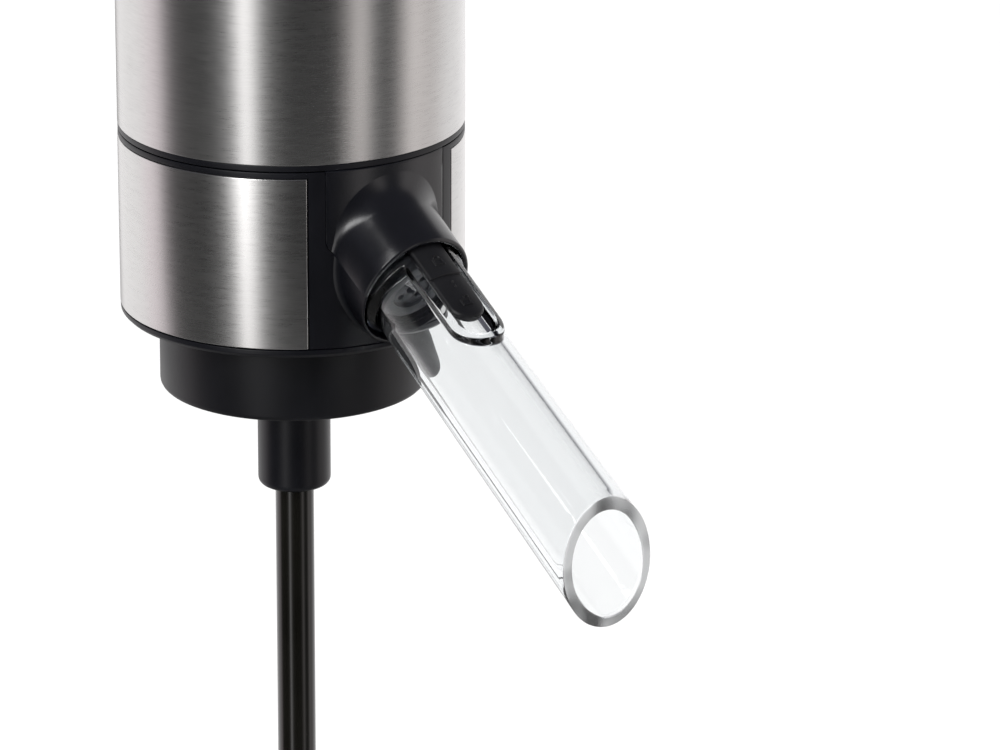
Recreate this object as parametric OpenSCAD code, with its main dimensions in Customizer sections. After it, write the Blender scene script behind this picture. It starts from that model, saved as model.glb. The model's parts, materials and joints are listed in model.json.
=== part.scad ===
// Battery-powered wine aerator and dispenser that stands in the neck of a bottle.
// Origin: centre of the plane where the bottle's lip seats. +Z is up, the spout points to -Y.

/* [Body] */
// Outer diameter of the steel body
body_d = 53; // [52:0.1:54]
// Height of the body's top face above the bottle's lip
body_top_z = 124; // [123:0.5:132]
// Height of the seam between the lift-off cover and the lower unit
seam_z = 31.5; // [31.2:0.1:31.8]
// Thickness of the steel sleeve and of the steel wrap
steel_t = 0.5; // [0.4:0.1:0.6]
// Width of the gap left at the seam
seam_gap = 0.15; // [0.1:0.05:0.3]

/* [Front] */
// Half-angle of the opening in the steel wrap, seen from the body axis
wrap_half_angle = 30.2; // [29:0.1:32]
// Half-angle of the inset front panel
panel_half_angle = 24.1; // [23:0.1:25]
// Outer radius of the nose that carries the spout
nose_r = 9.85; // [9.7:0.05:10]
// Distance of the nose rim from the body axis, along the spout axis
nose_rim_l = 37.2; // [36:0.1:38]
// Angle of the rim plane to a plane square to the spout
nose_rim_angle = 9.4; // [5:0.1:15]

/* [Spout] */
// Angle of the spout below the horizontal
spout_tilt = 31.6; // [31:0.1:32]
// Height where the spout axis meets the body axis
spout_cross_z = 32.1; // [31.9:0.1:32.3]
// Distance of the mouth's centre from the body axis, along the spout axis
mouth_l = 92.3; // [85:0.1:95]
// Angle of the mouth plane to a plane square to the spout
mouth_angle = 35; // [25:1:45]
// Outer radius of the tube next to the nose
tube_r = 7.3; // [7.2:0.05:7.5]
// Outer radius of the tube at its mouth
mouth_r = 8; // [7.8:0.05:8.3]

/* [Lock tab] */
// Width of the sliding lock tab
tab_w = 6; // [5.6:0.1:6.2]
// Distance of the tab's rounded end from the body axis, along the spout axis
tab_end_l = 50; // [49.5:0.1:50.2]
// Travel of the lock tab from locked to unlocked
tab_travel = 2.5; // [2:0.1:3]

/* [Bottle neck] */
// Diameter of the silicone stopper
stopper_d = 18.4; // [18:0.1:18.8]
// Outer diameter of the collar round the bottle's neck
collar_d = 41.2; // [40:0.1:43]
// Depth of the collar below the bottle's lip
collar_depth = 9.7; // [9.5:0.1:12]
// Diameter of the stem below the stopper
stem_d = 11.3; // [11:0.1:11.6]
// Depth of the stem below the bottle's lip
stem_depth = 26.7; // [20:0.1:30]

/* [Dip tube] */
// Outer diameter of the fixed dip tube
dip_d = 6; // [6:0.1:6.2]
// Depth of the fixed dip tube below the bottle's lip
dip_depth = 150; // [140:1:170]
// Travel of the telescoping tube
dip_travel = 110; // [80:1:110]

/* [Power unit] */
// Number of cells in the battery carrier
cell_count = 6; // [6]
// Diameter of one cell
cell_d = 10.4; // [10:0.1:10.5]
// Length of one cell with its contact
cell_l = 44.5; // [44:0.1:44.5]
// Travel of the power button
button_travel = 1.2; // [0.8:0.1:1.2]
// Diameter of the power button
button_d = 17.8; // [14:0.1:18]

/* [Hidden] */
$fn = 96;

eps = 0.01;
// Gap between pieces that slide past each other freely
free_gap = 0.3;
// Radial gap of a running fit
running_gap = 0.05;

body_r = body_d / 2;
shell_r = body_r - steel_t;
black_r = body_r - 0.05;

// Lower unit, from the collar up to the seam
seat_t = 1.4;
plate_z = 2.4;
plate_t = 1.45;
floor_z = plate_z + plate_t;
floor_t = 1.8;
housing_r = body_r - 0.55;
housing_bore_r = 24;
housing_top_z = seam_z - seam_gap / 2;
band_h = 0.95;
wrap_z0 = floor_z + 0.05;
wrap_z1 = housing_top_z - band_h - 0.05;
seam_w = 0.12;

// Spout seat inside the nose
nose_bore_r = 8.8;
lower_nose_r = 9.4;
cup_r = 8.5;
cup_end_l = 37.9;
cup_start_l = 25;
spout_bore_r = 5.9;
mouth_bore_r = mouth_r - 1.6;
bore_straight_l = 42;
nozzle_r = 5.3;
nozzle_end_l = 37.5;
nozzle_root_l = 12;
jet_seat_r = 3.4;
jet_seat_l = 6;
oring_l = 31;
oring_t = 0.85;
oring_groove_r = 4.05;
part_t = 1.2;
panel_corner_r = 2.2;

// Lock tab and the pocket that guides it
tab_floor_t = 7;
tab_groove_l = 41.7;
tab_start_l = 31;
pocket_wall = 1.5;
pocket_top_r = 8.6;

// Bottle neck
stopper_r = stopper_d / 2;
stem_r = stem_d / 2;
collar_r = collar_d / 2;
collar_wall = 2;
seal_bore_r = 10.4;
base_screw_r = 14;
base_screw_angles = [30, 150, 270];
dip_r = dip_d / 2;
dip_bore_r = dip_r - 0.65;
inner_tube_r = dip_bore_r - running_gap;
inner_tube_bore_r = inner_tube_r - 0.6;
air_hole_r = 0.8;
air_hole_x = 4.25;

// Stem top, manifold and air line
stem_flange_z = floor_z + floor_t;
manifold_z = stem_flange_z + 2;
manifold_top_z = 28.3;
wine_bore_r = 2.2;
air_arm_z = 11;
air_x = 10.8;
barb_r = 1.5;
hose_r = 2.5;
hose_z0 = 13.6;

// Chassis and pump, stacked upwards
chassis_z0 = 28.9;
chassis_z1 = housing_top_z;
chassis_r = housing_bore_r - 0.1;
cup_bore_r = 13.2;
cup_outer_r = 14.8;
ledge_z = 36;
pump_r = 12.9;
cap_z1 = 41;
valve_z1 = 43.5;
diaphragm_z1 = 44.7;
pump_cup_ring_r = 6.6;
pump_cup_r = 3.5;
pump_cup_z1 = 47.6;
wobble_z = 48.4;
wobble_r = 10.5;
hub_z1 = 53.6;
crank_z0 = 54.6;
crank_z1 = 58.2;
crank_offset = 1.2;
crank_pin_r = 0.75;
frame_z1 = 60;
screw_circle_r = 20.6;
chassis_screw_angles = [15, 90, 165];

// Motor
motor_r = 10.2;
motor_z1 = 87;
shaft_r = 1;
rotor_r = 7.6;

// Battery carrier and cells
carrier_z0 = 62;
carrier_plate_t = 2;
chamber_z0 = carrier_z0 + carrier_plate_t;
contact_t = 0.5;
spring_h = 1.6;
chamber_z1 = chamber_z0 + cell_l + spring_h + contact_t;
carrier_z1 = chamber_z1 + carrier_plate_t;
carrier_r = 24;
core_r = 12.6;
core_bore_r = 10.9;
cell_ring_r = 18.6;
nub_h = 0.8;

// Circuit board, switch, button and top cap, measured down from the top face
cap_t = 1.4;
cap_plug_z = body_top_z - 3;
button_r = button_d / 2;
flange_z1 = cap_plug_z - 0.1;
flange_z0 = flange_z1 - 1;
button_foot_z = flange_z0 - 0.7;
plunger_z1 = button_foot_z - 0.1;
switch_z1 = plunger_z1 - button_travel;
switch_h = 2.1;
board_z1 = switch_z1 - switch_h;
board_t = 1.2;
board_z0 = board_z1 - board_t;
board_r = 19;
guide_z0 = board_z1 + 0.8;
guide_t = 0.8;
button_tube_r = 11;

// Cover
liner_bore_r = 24.5;
liner_z0 = seam_z + seam_gap / 2;
sleeve_z0 = seam_z + 1;
sleeve_z1 = body_top_z - cap_t - 0.05;

// ---- Shared shapes ----

// Local frame on the spout axis: +Z runs out along the spout, +Y is the upper side.
module on_spout()
{
    translate([0, 0, spout_cross_z])
        rotate([90 + spout_tilt, 0, 0])
            children();
}

module ring(outer_r, inner_r, z0, z1)
{
    translate([0, 0, z0])
        difference() {
            cylinder(r = outer_r, h = z1 - z0);
            translate([0, 0, -1])
                cylinder(r = inner_r, h = z1 - z0 + 2);
        }
}

// Wedge that opens towards -Y, between two angles measured from -Y
module front_wedge(from_angle, to_angle, z0, z1)
{
    reach = 60;
    translate([0, 0, z0])
        linear_extrude(z1 - z0)
            polygon([
                [0, 0],
                [reach * sin(from_angle), -reach * cos(from_angle)],
                [reach * sin((from_angle + to_angle) / 2), -reach * cos((from_angle + to_angle) / 2)],
                [reach * sin(to_angle), -reach * cos(to_angle)]
            ]);
}

// Everything above the parting plane of the nose
module above_parting()
{
    on_spout()
        translate([-40, part_t, -20])
            cube([80, 80, 100]);
}

// A solid along the spout axis, cut at the plane of the nose rim
module cut_at_rim(outer_r)
{
    on_spout()
        difference() {
            translate([0, 0, 15])
                cylinder(r = outer_r, h = nose_rim_l - 15 + 4);
            translate([0, 0, nose_rim_l])
                rotate([-nose_rim_angle, 0, 0])
                    translate([-20, -20, 0])
                        cube([40, 40, 20]);
        }
}

module nose_bore()
{
    on_spout()
        translate([0, 0, 14])
            cylinder(r = nose_bore_r, h = 60);
}

// Outline of the lock tab or of its pocket: straight sides and a round end towards the mouth
module tab_outline(half_w, start_l, end_l)
{
    translate([-half_w, start_l])
        square([2 * half_w, end_l - half_w - start_l]);
    translate([0, end_l - half_w])
        circle(r = half_w);
}

// Extrude an outline drawn in the plane of the tab, from one height above the axis to another
module raise_tab(t0, t1)
{
    translate([0, t1, 0])
        rotate([90, 0, 0])
            linear_extrude(t1 - t0)
                children();
}

module round_screw(head_r, head_h, shank_r, shank_l)
{
    difference() {
        cylinder(r = head_r, h = head_h);
        translate([0, 0, head_h - 0.6])
            cylinder(r = head_r * 0.5, h = 1, $fn = 6);
    }
    translate([0, 0, -shank_l])
        cylinder(r = shank_r, h = shank_l + eps);
}

// ---- Bottle neck ----

module stopper_stem()
{
    edge = 1.6;
    color("#202124")
        difference() {
            rotate_extrude()
                union() {
                    translate([0, -stem_depth + edge])
                        square([stem_r, stem_depth - edge + stem_flange_z]);
                    translate([0, -stem_depth])
                        square([stem_r - edge, edge + eps]);
                    translate([stem_r - edge, -stem_depth + edge])
                        intersection() {
                            circle(r = edge, $fn = 48);
                            translate([-eps, -edge])
                                square([edge + 1, edge + eps]);
                        }
                    translate([0, stem_flange_z])
                        square([8, manifold_z - stem_flange_z]);
                    translate([0, manifold_z - eps])
                        square([3.6, 2]);
                }
            translate([0, 0, -stem_depth - 1])
                cylinder(r = dip_r, h = stem_depth + 1 + floor_z);
            translate([0, 0, 0])
                cylinder(r = wine_bore_r, h = 20);
            translate([air_hole_x, 0, -stem_depth - 1])
                cylinder(r = air_hole_r, h = 60, $fn = 32);
        }
}

module stopper_sleeve()
{
    taper_z = -8.5;
    taper = 1.4;
    color("#2b2c2e")
        rotate_extrude()
            polygon([
                [stem_r + 0.02, seat_t],
                [stopper_r, seat_t],
                [stopper_r, taper_z],
                [stopper_r - taper, -collar_depth + 0.1],
                [stem_r + 0.02, -collar_depth + 0.1]
            ]);
}

module neck_gasket()
{
    outer_r = collar_r - collar_wall - 0.02;
    sleeve_r = 16;
    rib_r = 0.45;
    color("#3a3b3d")
        difference() {
            rotate_extrude()
                union() {
                    translate([seal_bore_r, 0])
                        square([outer_r - seal_bore_r, seat_t]);
                    translate([sleeve_r, -collar_depth + 0.5])
                        square([outer_r - sleeve_r, collar_depth - 0.5 + eps]);
                    for (z = [-8, -5.5, -3])
                        translate([sleeve_r, z])
                            circle(r = rib_r, $fn = 24);
                }
            for (a = base_screw_angles)
                rotate([0, 0, a])
                    translate([base_screw_r, 0, 0.4])
                        cylinder(r = 2.2, h = 2, $fn = 32);
        }
}

module bottle_collar()
{
    edge = 1;
    color("#1d1e20")
        difference() {
            rotate_extrude()
                difference() {
                    union() {
                        translate([seal_bore_r, -collar_depth + edge])
                            square([collar_r - seal_bore_r, collar_depth - edge + plate_z - 0.02]);
                        translate([seal_bore_r, -collar_depth])
                            square([collar_r - seal_bore_r - edge, edge + eps]);
                        translate([collar_r - edge, -collar_depth + edge])
                            circle(r = edge, $fn = 32);
                    }
                    translate([0, -collar_depth + 0.45])
                        square([collar_r - collar_wall, collar_depth - 0.45 + seat_t + 0.03]);
                    translate([0, -collar_depth - 1])
                        square([16.8, 5]);
                }
            for (a = base_screw_angles)
                rotate([0, 0, a])
                    translate([base_screw_r, 0, 0])
                        cylinder(r = 1.1, h = 5, $fn = 32);
        }
}

// ---- Lower unit ----

module base_plate()
{
    bevel = 0.6;
    color("#1d1e20")
        difference() {
            rotate_extrude()
                polygon([
                    [stem_r + 0.1, plate_z],
                    [black_r - bevel, plate_z],
                    [black_r, plate_z + bevel],
                    [black_r, floor_z - 0.15],
                    [housing_r - 0.3, floor_z - 0.02],
                    [stem_r + 0.1, floor_z - 0.02]
                ]);
            for (a = base_screw_angles)
                rotate([0, 0, a])
                    translate([base_screw_r, 0, 0])
                        cylinder(r = 1.1, h = 10, $fn = 32);
        }
}

module base_screws()
{
    color("silver")
        for (a = base_screw_angles)
            rotate([0, 0, a])
                translate([base_screw_r, 0, seat_t])
                    rotate([180, 0, 0])
                        round_screw(1.9, 0.95, 0.95, 8.5);
}

module lower_housing_shell()
{
    difference() {
        union() {
            translate([0, 0, floor_z])
                cylinder(r = housing_r, h = housing_top_z - floor_z);
            translate([0, 0, housing_top_z - band_h])
                cylinder(r = black_r, h = band_h);
            intersection() {
                translate([0, 0, floor_z])
                    cylinder(r = black_r, h = housing_top_z - floor_z);
                front_wedge(-wrap_half_angle + 0.3, wrap_half_angle - 0.3, floor_z, housing_top_z);
            }
        }
        translate([0, 0, floor_z + floor_t])
            cylinder(r = housing_bore_r, h = 60);
        translate([0, 0, 0])
            cylinder(r = stem_r + 0.05, h = 30);
    }
}

module lower_housing()
{
    boss_r = 2.6;
    color("#1f2023")
        difference() {
            union() {
                difference() {
                    lower_housing_shell();
                    // Recess that takes the front panel and the root of the nose
                    intersection() {
                        above_parting();
                        front_wedge(
                            -panel_half_angle - 0.25, panel_half_angle + 0.25, 10, housing_top_z + 1
                        );
                        union() {
                            panel_block(seam_w);
                            on_spout()
                                cylinder(r = nose_r + seam_w, h = 60);
                        }
                    }
                }
                // Lower half of the nose
                difference() {
                    cut_at_rim(lower_nose_r);
                    above_parting();
                    translate([0, 0, -40])
                        cylinder(r = housing_bore_r + 0.5, h = 100);
                }
                for (a = base_screw_angles)
                    rotate([0, 0, a])
                        translate([base_screw_r, 0, floor_z])
                            cylinder(r = boss_r, h = 8, $fn = 48);
                for (a = chassis_screw_angles)
                    rotate([0, 0, a])
                        translate([screw_circle_r, 0, floor_z])
                            cylinder(r = boss_r, h = chassis_z0 - 0.02 - floor_z, $fn = 48);
            }
            nose_bore();
            for (a = base_screw_angles)
                rotate([0, 0, a])
                    translate([base_screw_r, 0, 0])
                        cylinder(r = 1, h = 11, $fn = 32);
            for (a = chassis_screw_angles)
                rotate([0, 0, a])
                    translate([screw_circle_r, 0, 20])
                        cylinder(r = 1, h = 20, $fn = 32);
        }
}

// Block behind the front panel's outline, whose two lower corners are rounded
module panel_block(margin)
{
    half_w = black_r * sin(panel_half_angle) + margin;
    corner = panel_corner_r + margin;
    corner_z = spout_cross_z - black_r * cos(panel_half_angle) * tan(spout_tilt)
        + part_t / cos(spout_tilt) + panel_corner_r;
    rotate([90, 0, 0])
        linear_extrude(body_r + 10)
            union() {
                translate([-half_w, corner_z])
                    square([2 * half_w, 30]);
                translate([-half_w + corner, corner_z - corner])
                    square([2 * (half_w - corner), corner + eps]);
                for (side = [-1, 1])
                    translate([side * (half_w - corner), corner_z])
                        circle(r = corner);
            }
}

module front_panel()
{
    color("#232428")
        difference() {
            union() {
                intersection() {
                    ring(black_r, housing_bore_r + 0.02, 10, housing_top_z - 0.02);
                    front_wedge(-panel_half_angle, panel_half_angle, 10, housing_top_z);
                    panel_block(0);
                    translate([0, 0, seam_w])
                        above_parting();
                }
                // Upper half of the nose
                intersection() {
                    difference() {
                        cut_at_rim(nose_r);
                        translate([0, 0, -40])
                            cylinder(r = housing_bore_r + 0.02, h = 120);
                    }
                    translate([0, 0, seam_w])
                        above_parting();
                }
            }
            nose_bore();
        }
}

module steel_wrap()
{
    color("#b9bbbd")
        difference() {
            ring(body_r + 0.1, housing_r + 0.05, wrap_z0, wrap_z1);
            front_wedge(-wrap_half_angle, wrap_half_angle, 0, 40);
        }
}

module manifold()
{
    cross_bore_z = 23.4;
    block_z0 = 18.5;
    block_w = 10;
    block_d = 15;
    color("#55585c")
        difference() {
            union() {
                translate([0, 0, manifold_z + 0.02])
                    cylinder(r = 7, h = 6.5);
                translate([0, 0, manifold_z + 0.02])
                    cylinder(r = 5, h = manifold_top_z - manifold_z - 0.02);
                translate([-block_w / 2, -block_d, block_z0])
                    cube([block_w, block_d, manifold_top_z - block_z0]);
                intersection() {
                    on_spout()
                        union() {
                            translate([0, 0, nozzle_root_l])
                                cylinder(r = nozzle_r + 0.5, h = 12);
                            translate([0, 0, nozzle_root_l])
                                cylinder(r = nozzle_r, h = nozzle_end_l - nozzle_root_l);
                        }
                    translate([-20, -60, 0])
                        cube([40, 80, manifold_top_z]);
                }
                // Arm that carries the air barb
                translate([4, 0, air_arm_z])
                    rotate([0, 90, 0])
                        cylinder(r = 2.2, h = air_x - 4 + 1.8, $fn = 48);
                translate([air_x, 0, air_arm_z])
                    cylinder(r = barb_r, h = 7, $fn = 48);
            }
            // Socket for the stem's nipple, then the wine passage
            translate([0, 0, manifold_z - 1])
                cylinder(r = 3.65, h = 3.2);
            translate([0, 0, manifold_z])
                cylinder(r = wine_bore_r, h = cross_bore_z + wine_bore_r - manifold_z);
            translate([0, 0, cross_bore_z])
                rotate([90, 0, 0])
                    cylinder(r = wine_bore_r, h = 13);
            on_spout()
                translate([0, 0, nozzle_root_l])
                    cylinder(r = wine_bore_r, h = 60);
            on_spout()
                translate([0, 0, nozzle_end_l - jet_seat_l])
                    cylinder(r = jet_seat_r, h = 10);
            // Groove of the O-ring
            on_spout()
                rotate_extrude()
                    translate([oring_groove_r, oring_l - 1])
                        square([3, 2]);
            // Air passage
            translate([air_hole_x, 0, manifold_z - 1])
                cylinder(r = air_hole_r, h = air_arm_z - manifold_z + 1, $fn = 32);
            translate([air_hole_x, 0, air_arm_z])
                rotate([0, 90, 0])
                    cylinder(r = air_hole_r, h = air_x - air_hole_x, $fn = 32);
            translate([air_x, 0, air_arm_z])
                cylinder(r = air_hole_r, h = 10, $fn = 32);
        }
}

module nozzle_oring()
{
    color("#111111")
        on_spout()
            translate([0, 0, oring_l])
                rotate_extrude()
                    translate([spout_bore_r - running_gap - oring_t, 0])
                        circle(r = oring_t, $fn = 48);
}

module aerator_jet()
{
    jet_holes = 4;
    jet_l = 5.4;
    color("#55585c")
        on_spout()
            translate([0, 0, nozzle_end_l - jet_seat_l + 0.1])
                difference() {
                    cylinder(r = jet_seat_r - 0.04, h = jet_l);
                    translate([0, 0, -1])
                        cylinder(r = 0.9, h = jet_l + 2, $fn = 32);
                    for (i = [0 : jet_holes - 1])
                        rotate([0, 0, 45 + i * 360 / jet_holes])
                            translate([2.1, 0, -1])
                                cylinder(r = 0.5, h = jet_l + 2, $fn = 24);
                }
}

module air_check_valve()
{
    color("#e6e2da")
        translate([air_x, 0, hose_z0 + 6])
            difference() {
                cylinder(r = barb_r - 0.02, h = 3.5, $fn = 48);
                translate([0, 0, -1])
                    cylinder(r = 0.6, h = 3.5, $fn = 32);
                translate([-0.05, -1, 2])
                    cube([0.1, 2, 3]);
            }
}

module air_hose()
{
    color("#cfd2d2")
        translate([air_x, 0, 0])
            ring(hose_r, barb_r + 0.02, hose_z0, 34.6);
}

// ---- Chassis and pump ----

module chassis()
{
    color("#2c2f33")
        difference() {
            union() {
                translate([0, 0, chassis_z0])
                    cylinder(r = chassis_r, h = chassis_z1 - chassis_z0);
                translate([0, 0, chassis_z0])
                    cylinder(r = cup_outer_r, h = carrier_z0 - 0.02 - chassis_z0);
                // Skirt that centres the cover
                ring(chassis_r, 22.9, chassis_z1 - eps, chassis_z1 + 6.5);
            }
            translate([0, 0, ledge_z])
                cylinder(r = cup_bore_r, h = 60);
            translate([0, 0, 0])
                cylinder(r = 7.5, h = 60);
            translate([air_x, 0, 0])
                cylinder(r = hose_r + 0.5, h = 60, $fn = 48);
            for (a = chassis_screw_angles)
                rotate([0, 0, a])
                    translate([screw_circle_r, 0, 0])
                        cylinder(r = 1.15, h = 60, $fn = 32);
            // The panel's and the nose's inner side stays clear of the base disc
            on_spout()
                translate([0, 0, 14])
                    cylinder(r = 9.4, h = 60);
        }
}

module chassis_screws()
{
    color("silver")
        for (a = chassis_screw_angles)
            rotate([0, 0, a])
                translate([screw_circle_r, 0, chassis_z1 + 0.02])
                    round_screw(2, 1.5, 0.95, 9);
}

module pump_cap()
{
    color("#e9e9e6")
        difference() {
            union() {
                translate([0, 0, ledge_z + 0.02])
                    cylinder(r = pump_r, h = cap_z1 - ledge_z - 0.02);
                translate([air_x, 0, 30.5])
                    cylinder(r = barb_r, h = 8, $fn = 48);
            }
            translate([0, 0, cap_z1 - 2.5])
                cylinder(r = pump_r - 1.6, h = 10);
            translate([air_x, 0, 20])
                cylinder(r = air_hole_r, h = 30, $fn = 32);
        }
}

module pump_valve_plate()
{
    color("#c9cdd0")
        difference() {
            union() {
                translate([0, 0, cap_z1 + 0.02])
                    cylinder(r = pump_r, h = valve_z1 - cap_z1 - 0.04);
                translate([0, 0, cap_z1 - 2])
                    cylinder(r = 2, h = 3, $fn = 48);
            }
            for (i = [0 : 2])
                rotate([0, 0, i * 120 + 30]) {
                    translate([pump_cup_ring_r - 1.6, 0, 30])
                        cylinder(r = 0.6, h = 20, $fn = 24);
                    translate([pump_cup_ring_r + 1.6, 0, 30])
                        cylinder(r = 0.6, h = 20, $fn = 24);
                }
        }
}

module pump_diaphragm()
{
    color("#2a2a2a")
        difference() {
            union() {
                translate([0, 0, valve_z1])
                    cylinder(r = pump_r, h = diaphragm_z1 - valve_z1 - 0.02);
                for (i = [0 : 2])
                    rotate([0, 0, i * 120 + 30])
                        translate([pump_cup_ring_r, 0, valve_z1])
                            cylinder(r1 = pump_cup_r, r2 = pump_cup_r - 0.7, h = pump_cup_z1 - valve_z1);
            }
            for (i = [0 : 2])
                rotate([0, 0, i * 120 + 30])
                    translate([pump_cup_ring_r, 0, valve_z1 - 1])
                        cylinder(r = pump_cup_r - 1.3, h = pump_cup_z1 - valve_z1);
        }
}

module pump_frame()
{
    color("#e9e9e6")
        difference() {
            translate([0, 0, diaphragm_z1])
                cylinder(r = pump_r, h = frame_z1 - diaphragm_z1 - 0.02);
            translate([0, 0, diaphragm_z1 - 1])
                cylinder(r = pump_r - 1.5, h = frame_z1 - diaphragm_z1 - 0.5);
            translate([0, 0, 50])
                cylinder(r = 3.2, h = 20);
            for (a = [0, 180])
                rotate([0, 0, a])
                    translate([7, 0, 50])
                        cylinder(r = 1.1, h = 20, $fn = 32);
        }
}

module wobble_plate()
{
    color("#f0efe9")
        difference() {
            union() {
                intersection() {
                    translate([0, 0, wobble_z])
                        cylinder(r = wobble_r, h = 1.5);
                    union() {
                        for (i = [0 : 2])
                            rotate([0, 0, i * 120 + 30])
                                translate([0, -3, wobble_z])
                                    cube([wobble_r, 6, 2]);
                        translate([0, 0, wobble_z])
                            cylinder(r = 6, h = 2);
                    }
                }
                translate([0, 0, wobble_z])
                    cylinder(r = 4.2, h = hub_z1 - wobble_z);
            }
            translate([0, 0, wobble_z + 1.8])
                cylinder(r = 2.9, h = 10);
        }
}

module crank_collar()
{
    color("#d0d3d6")
        difference() {
            union() {
                translate([0, 0, crank_z0])
                    cylinder(r = 3.8, h = crank_z1 - crank_z0);
                translate([crank_offset, 0, wobble_z + 2.2])
                    cylinder(r = crank_pin_r, h = crank_z0 - wobble_z - 2.2 + 1, $fn = 32);
            }
            translate([0, 0, crank_z0 + 1])
                cylinder(r = shaft_r + 0.01, h = 10, $fn = 48);
        }
}

module motor_shaft()
{
    color("#c8ccd0")
        translate([0, 0, crank_z0 + 1.1])
            cylinder(r = shaft_r, h = motor_z1 - 1.5 - crank_z0 - 1.1, $fn = 48);
}

// ---- Motor ----

module motor_rotor()
{
    rotor_z0 = 65;
    rotor_z1 = 81;
    slot_w = 1.4;
    color("#8a5a34")
        difference() {
            translate([0, 0, rotor_z0])
                cylinder(r = rotor_r, h = rotor_z1 - rotor_z0);
            translate([0, 0, rotor_z0 - 1])
                cylinder(r = shaft_r + 0.01, h = 30, $fn = 48);
            for (i = [0 : 2])
                rotate([0, 0, i * 120])
                    translate([3, -slot_w / 2, rotor_z0 - 1])
                        cube([10, slot_w, 30]);
        }
}

module motor_can()
{
    color("#aeb3b8")
        difference() {
            translate([0, 0, frame_z1])
                cylinder(r = motor_r, h = motor_z1 - 2 - frame_z1);
            translate([0, 0, frame_z1 + 0.8])
                cylinder(r = motor_r - 0.8, h = 60);
            translate([0, 0, frame_z1 - 1])
                cylinder(r = shaft_r + running_gap, h = 10, $fn = 48);
        }
}

module motor_magnets()
{
    color("#3b3d42")
        intersection() {
            ring(motor_r - 0.82, rotor_r + 0.35, 64, 82);
            union()
                for (side = [-1, 1])
                    translate([side > 0 ? 2.5 : -22.5, -20, 60])
                        cube([20, 40, 30]);
        }
}

module motor_end_cap()
{
    color("#e4e4e0")
        difference() {
            union() {
                translate([0, 0, motor_z1 - 1.98])
                    cylinder(r = motor_r, h = 1.98);
                for (x = [-5, 5])
                    translate([x - 0.3, -1.2, motor_z1 - eps])
                        cube([0.6, 2.4, 2.2]);
            }
            translate([0, 0, motor_z1 - 3])
                cylinder(r = shaft_r + running_gap, h = 2, $fn = 48);
        }
}

module motor_damper()
{
    color("#262626")
        ring(pump_r, motor_r + 0.05, frame_z1, carrier_z0 - 0.02);
}

// ---- Battery carrier, cells and electronics ----

module battery_carrier()
{
    color("#2c2f33")
        difference() {
            union() {
                translate([0, 0, carrier_z0])
                    cylinder(r = carrier_r, h = carrier_plate_t);
                translate([0, 0, chamber_z1])
                    cylinder(r = carrier_r, h = carrier_plate_t);
                translate([0, 0, carrier_z0])
                    cylinder(r = core_r, h = chamber_z1 - carrier_z0 + 1);
                for (i = [0 : cell_count - 1])
                    rotate([0, 0, (i + 0.5) * 360 / cell_count])
                        translate([core_r - 1, -0.6, carrier_z0])
                            cube([carrier_r - 0.6 - core_r + 1, 1.2, chamber_z1 - carrier_z0 + 1]);
                // Skirt that snaps over the chassis cup
                ring(cup_outer_r + 1.5, cup_outer_r + 0.02, carrier_z0 - 5, carrier_z0 + eps);
                for (i = [0 : 2])
                    rotate([0, 0, i * 120 + 30])
                        translate([15, 0, carrier_z1 - eps])
                            cylinder(r = 2, h = board_z0 - carrier_z1 - 0.01, $fn = 32);
            }
            translate([0, 0, carrier_z0 - 1])
                cylinder(r = core_bore_r, h = 80);
        }
}

// Places a child once for each cell; every second one is turned upside down
module at_cells(turned)
{
    mid_z = (chamber_z0 + chamber_z1) / 2;
    for (i = [0 : cell_count - 1])
        rotate([0, 0, i * 360 / cell_count])
            translate([cell_ring_r, 0, 0])
                if (turned && i % 2 == 1)
                    translate([0, 0, 2 * mid_z])
                        mirror([0, 0, 1])
                            children();
                else
                    children();
}

module battery_cells()
{
    body_l = cell_l - nub_h;
    color("#c98a2b")
        at_cells(true)
            translate([0, 0, chamber_z0 + spring_h]) {
                cylinder(r = cell_d / 2, h = body_l - 0.02, $fn = 48);
                translate([0, 0, body_l - 0.05])
                    cylinder(r = 1.9, h = nub_h + 0.03, $fn = 32);
            }
}

module contact_springs()
{
    color("#c0c4c8")
        at_cells(true)
            union() {
                ring(3.4, 2.5, chamber_z0 + 0.02, chamber_z0 + spring_h / 2);
                ring(2.6, 1.7, chamber_z0 + spring_h / 2 - 0.05, chamber_z0 + spring_h - 0.02);
            }
}

module contact_plates()
{
    color("#c0c4c8")
        at_cells(true)
            translate([0, 0, chamber_z1 - contact_t + 0.02])
                cylinder(r = 3.6, h = contact_t - 0.04, $fn = 48);
}

module motor_leads()
{
    color("#b3202a")
        for (x = [-5, 5])
            translate([x, 0, motor_z1 + 2.25])
                cylinder(r = 0.7, h = board_z0 - motor_z1 - 2.3, $fn = 24);
}

module circuit_board()
{
    color("#1d6b3c")
        difference() {
            translate([0, 0, board_z0])
                cylinder(r = board_r, h = board_t - 0.02);
            for (i = [0 : 2])
                rotate([0, 0, i * 120 + 30])
                    translate([15, 0, board_z0 - 1])
                        cylinder(r = 0.9, h = 4, $fn = 24);
        }
}

module push_switch()
{
    color("#3c3e42")
        difference() {
            translate([-3, -3, board_z1])
                cube([6, 6, switch_h]);
            translate([0, 0, switch_z1 - 1.7])
                cylinder(r = 1.75 + running_gap, h = 5, $fn = 48);
        }
}

module switch_plunger()
{
    color("#e8e8e8")
        translate([0, 0, switch_z1 - 0.35])
            cylinder(r = 1.75, h = plunger_z1 - switch_z1 + 0.35, $fn = 48);
}

// ---- Lift-off cover ----

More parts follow.
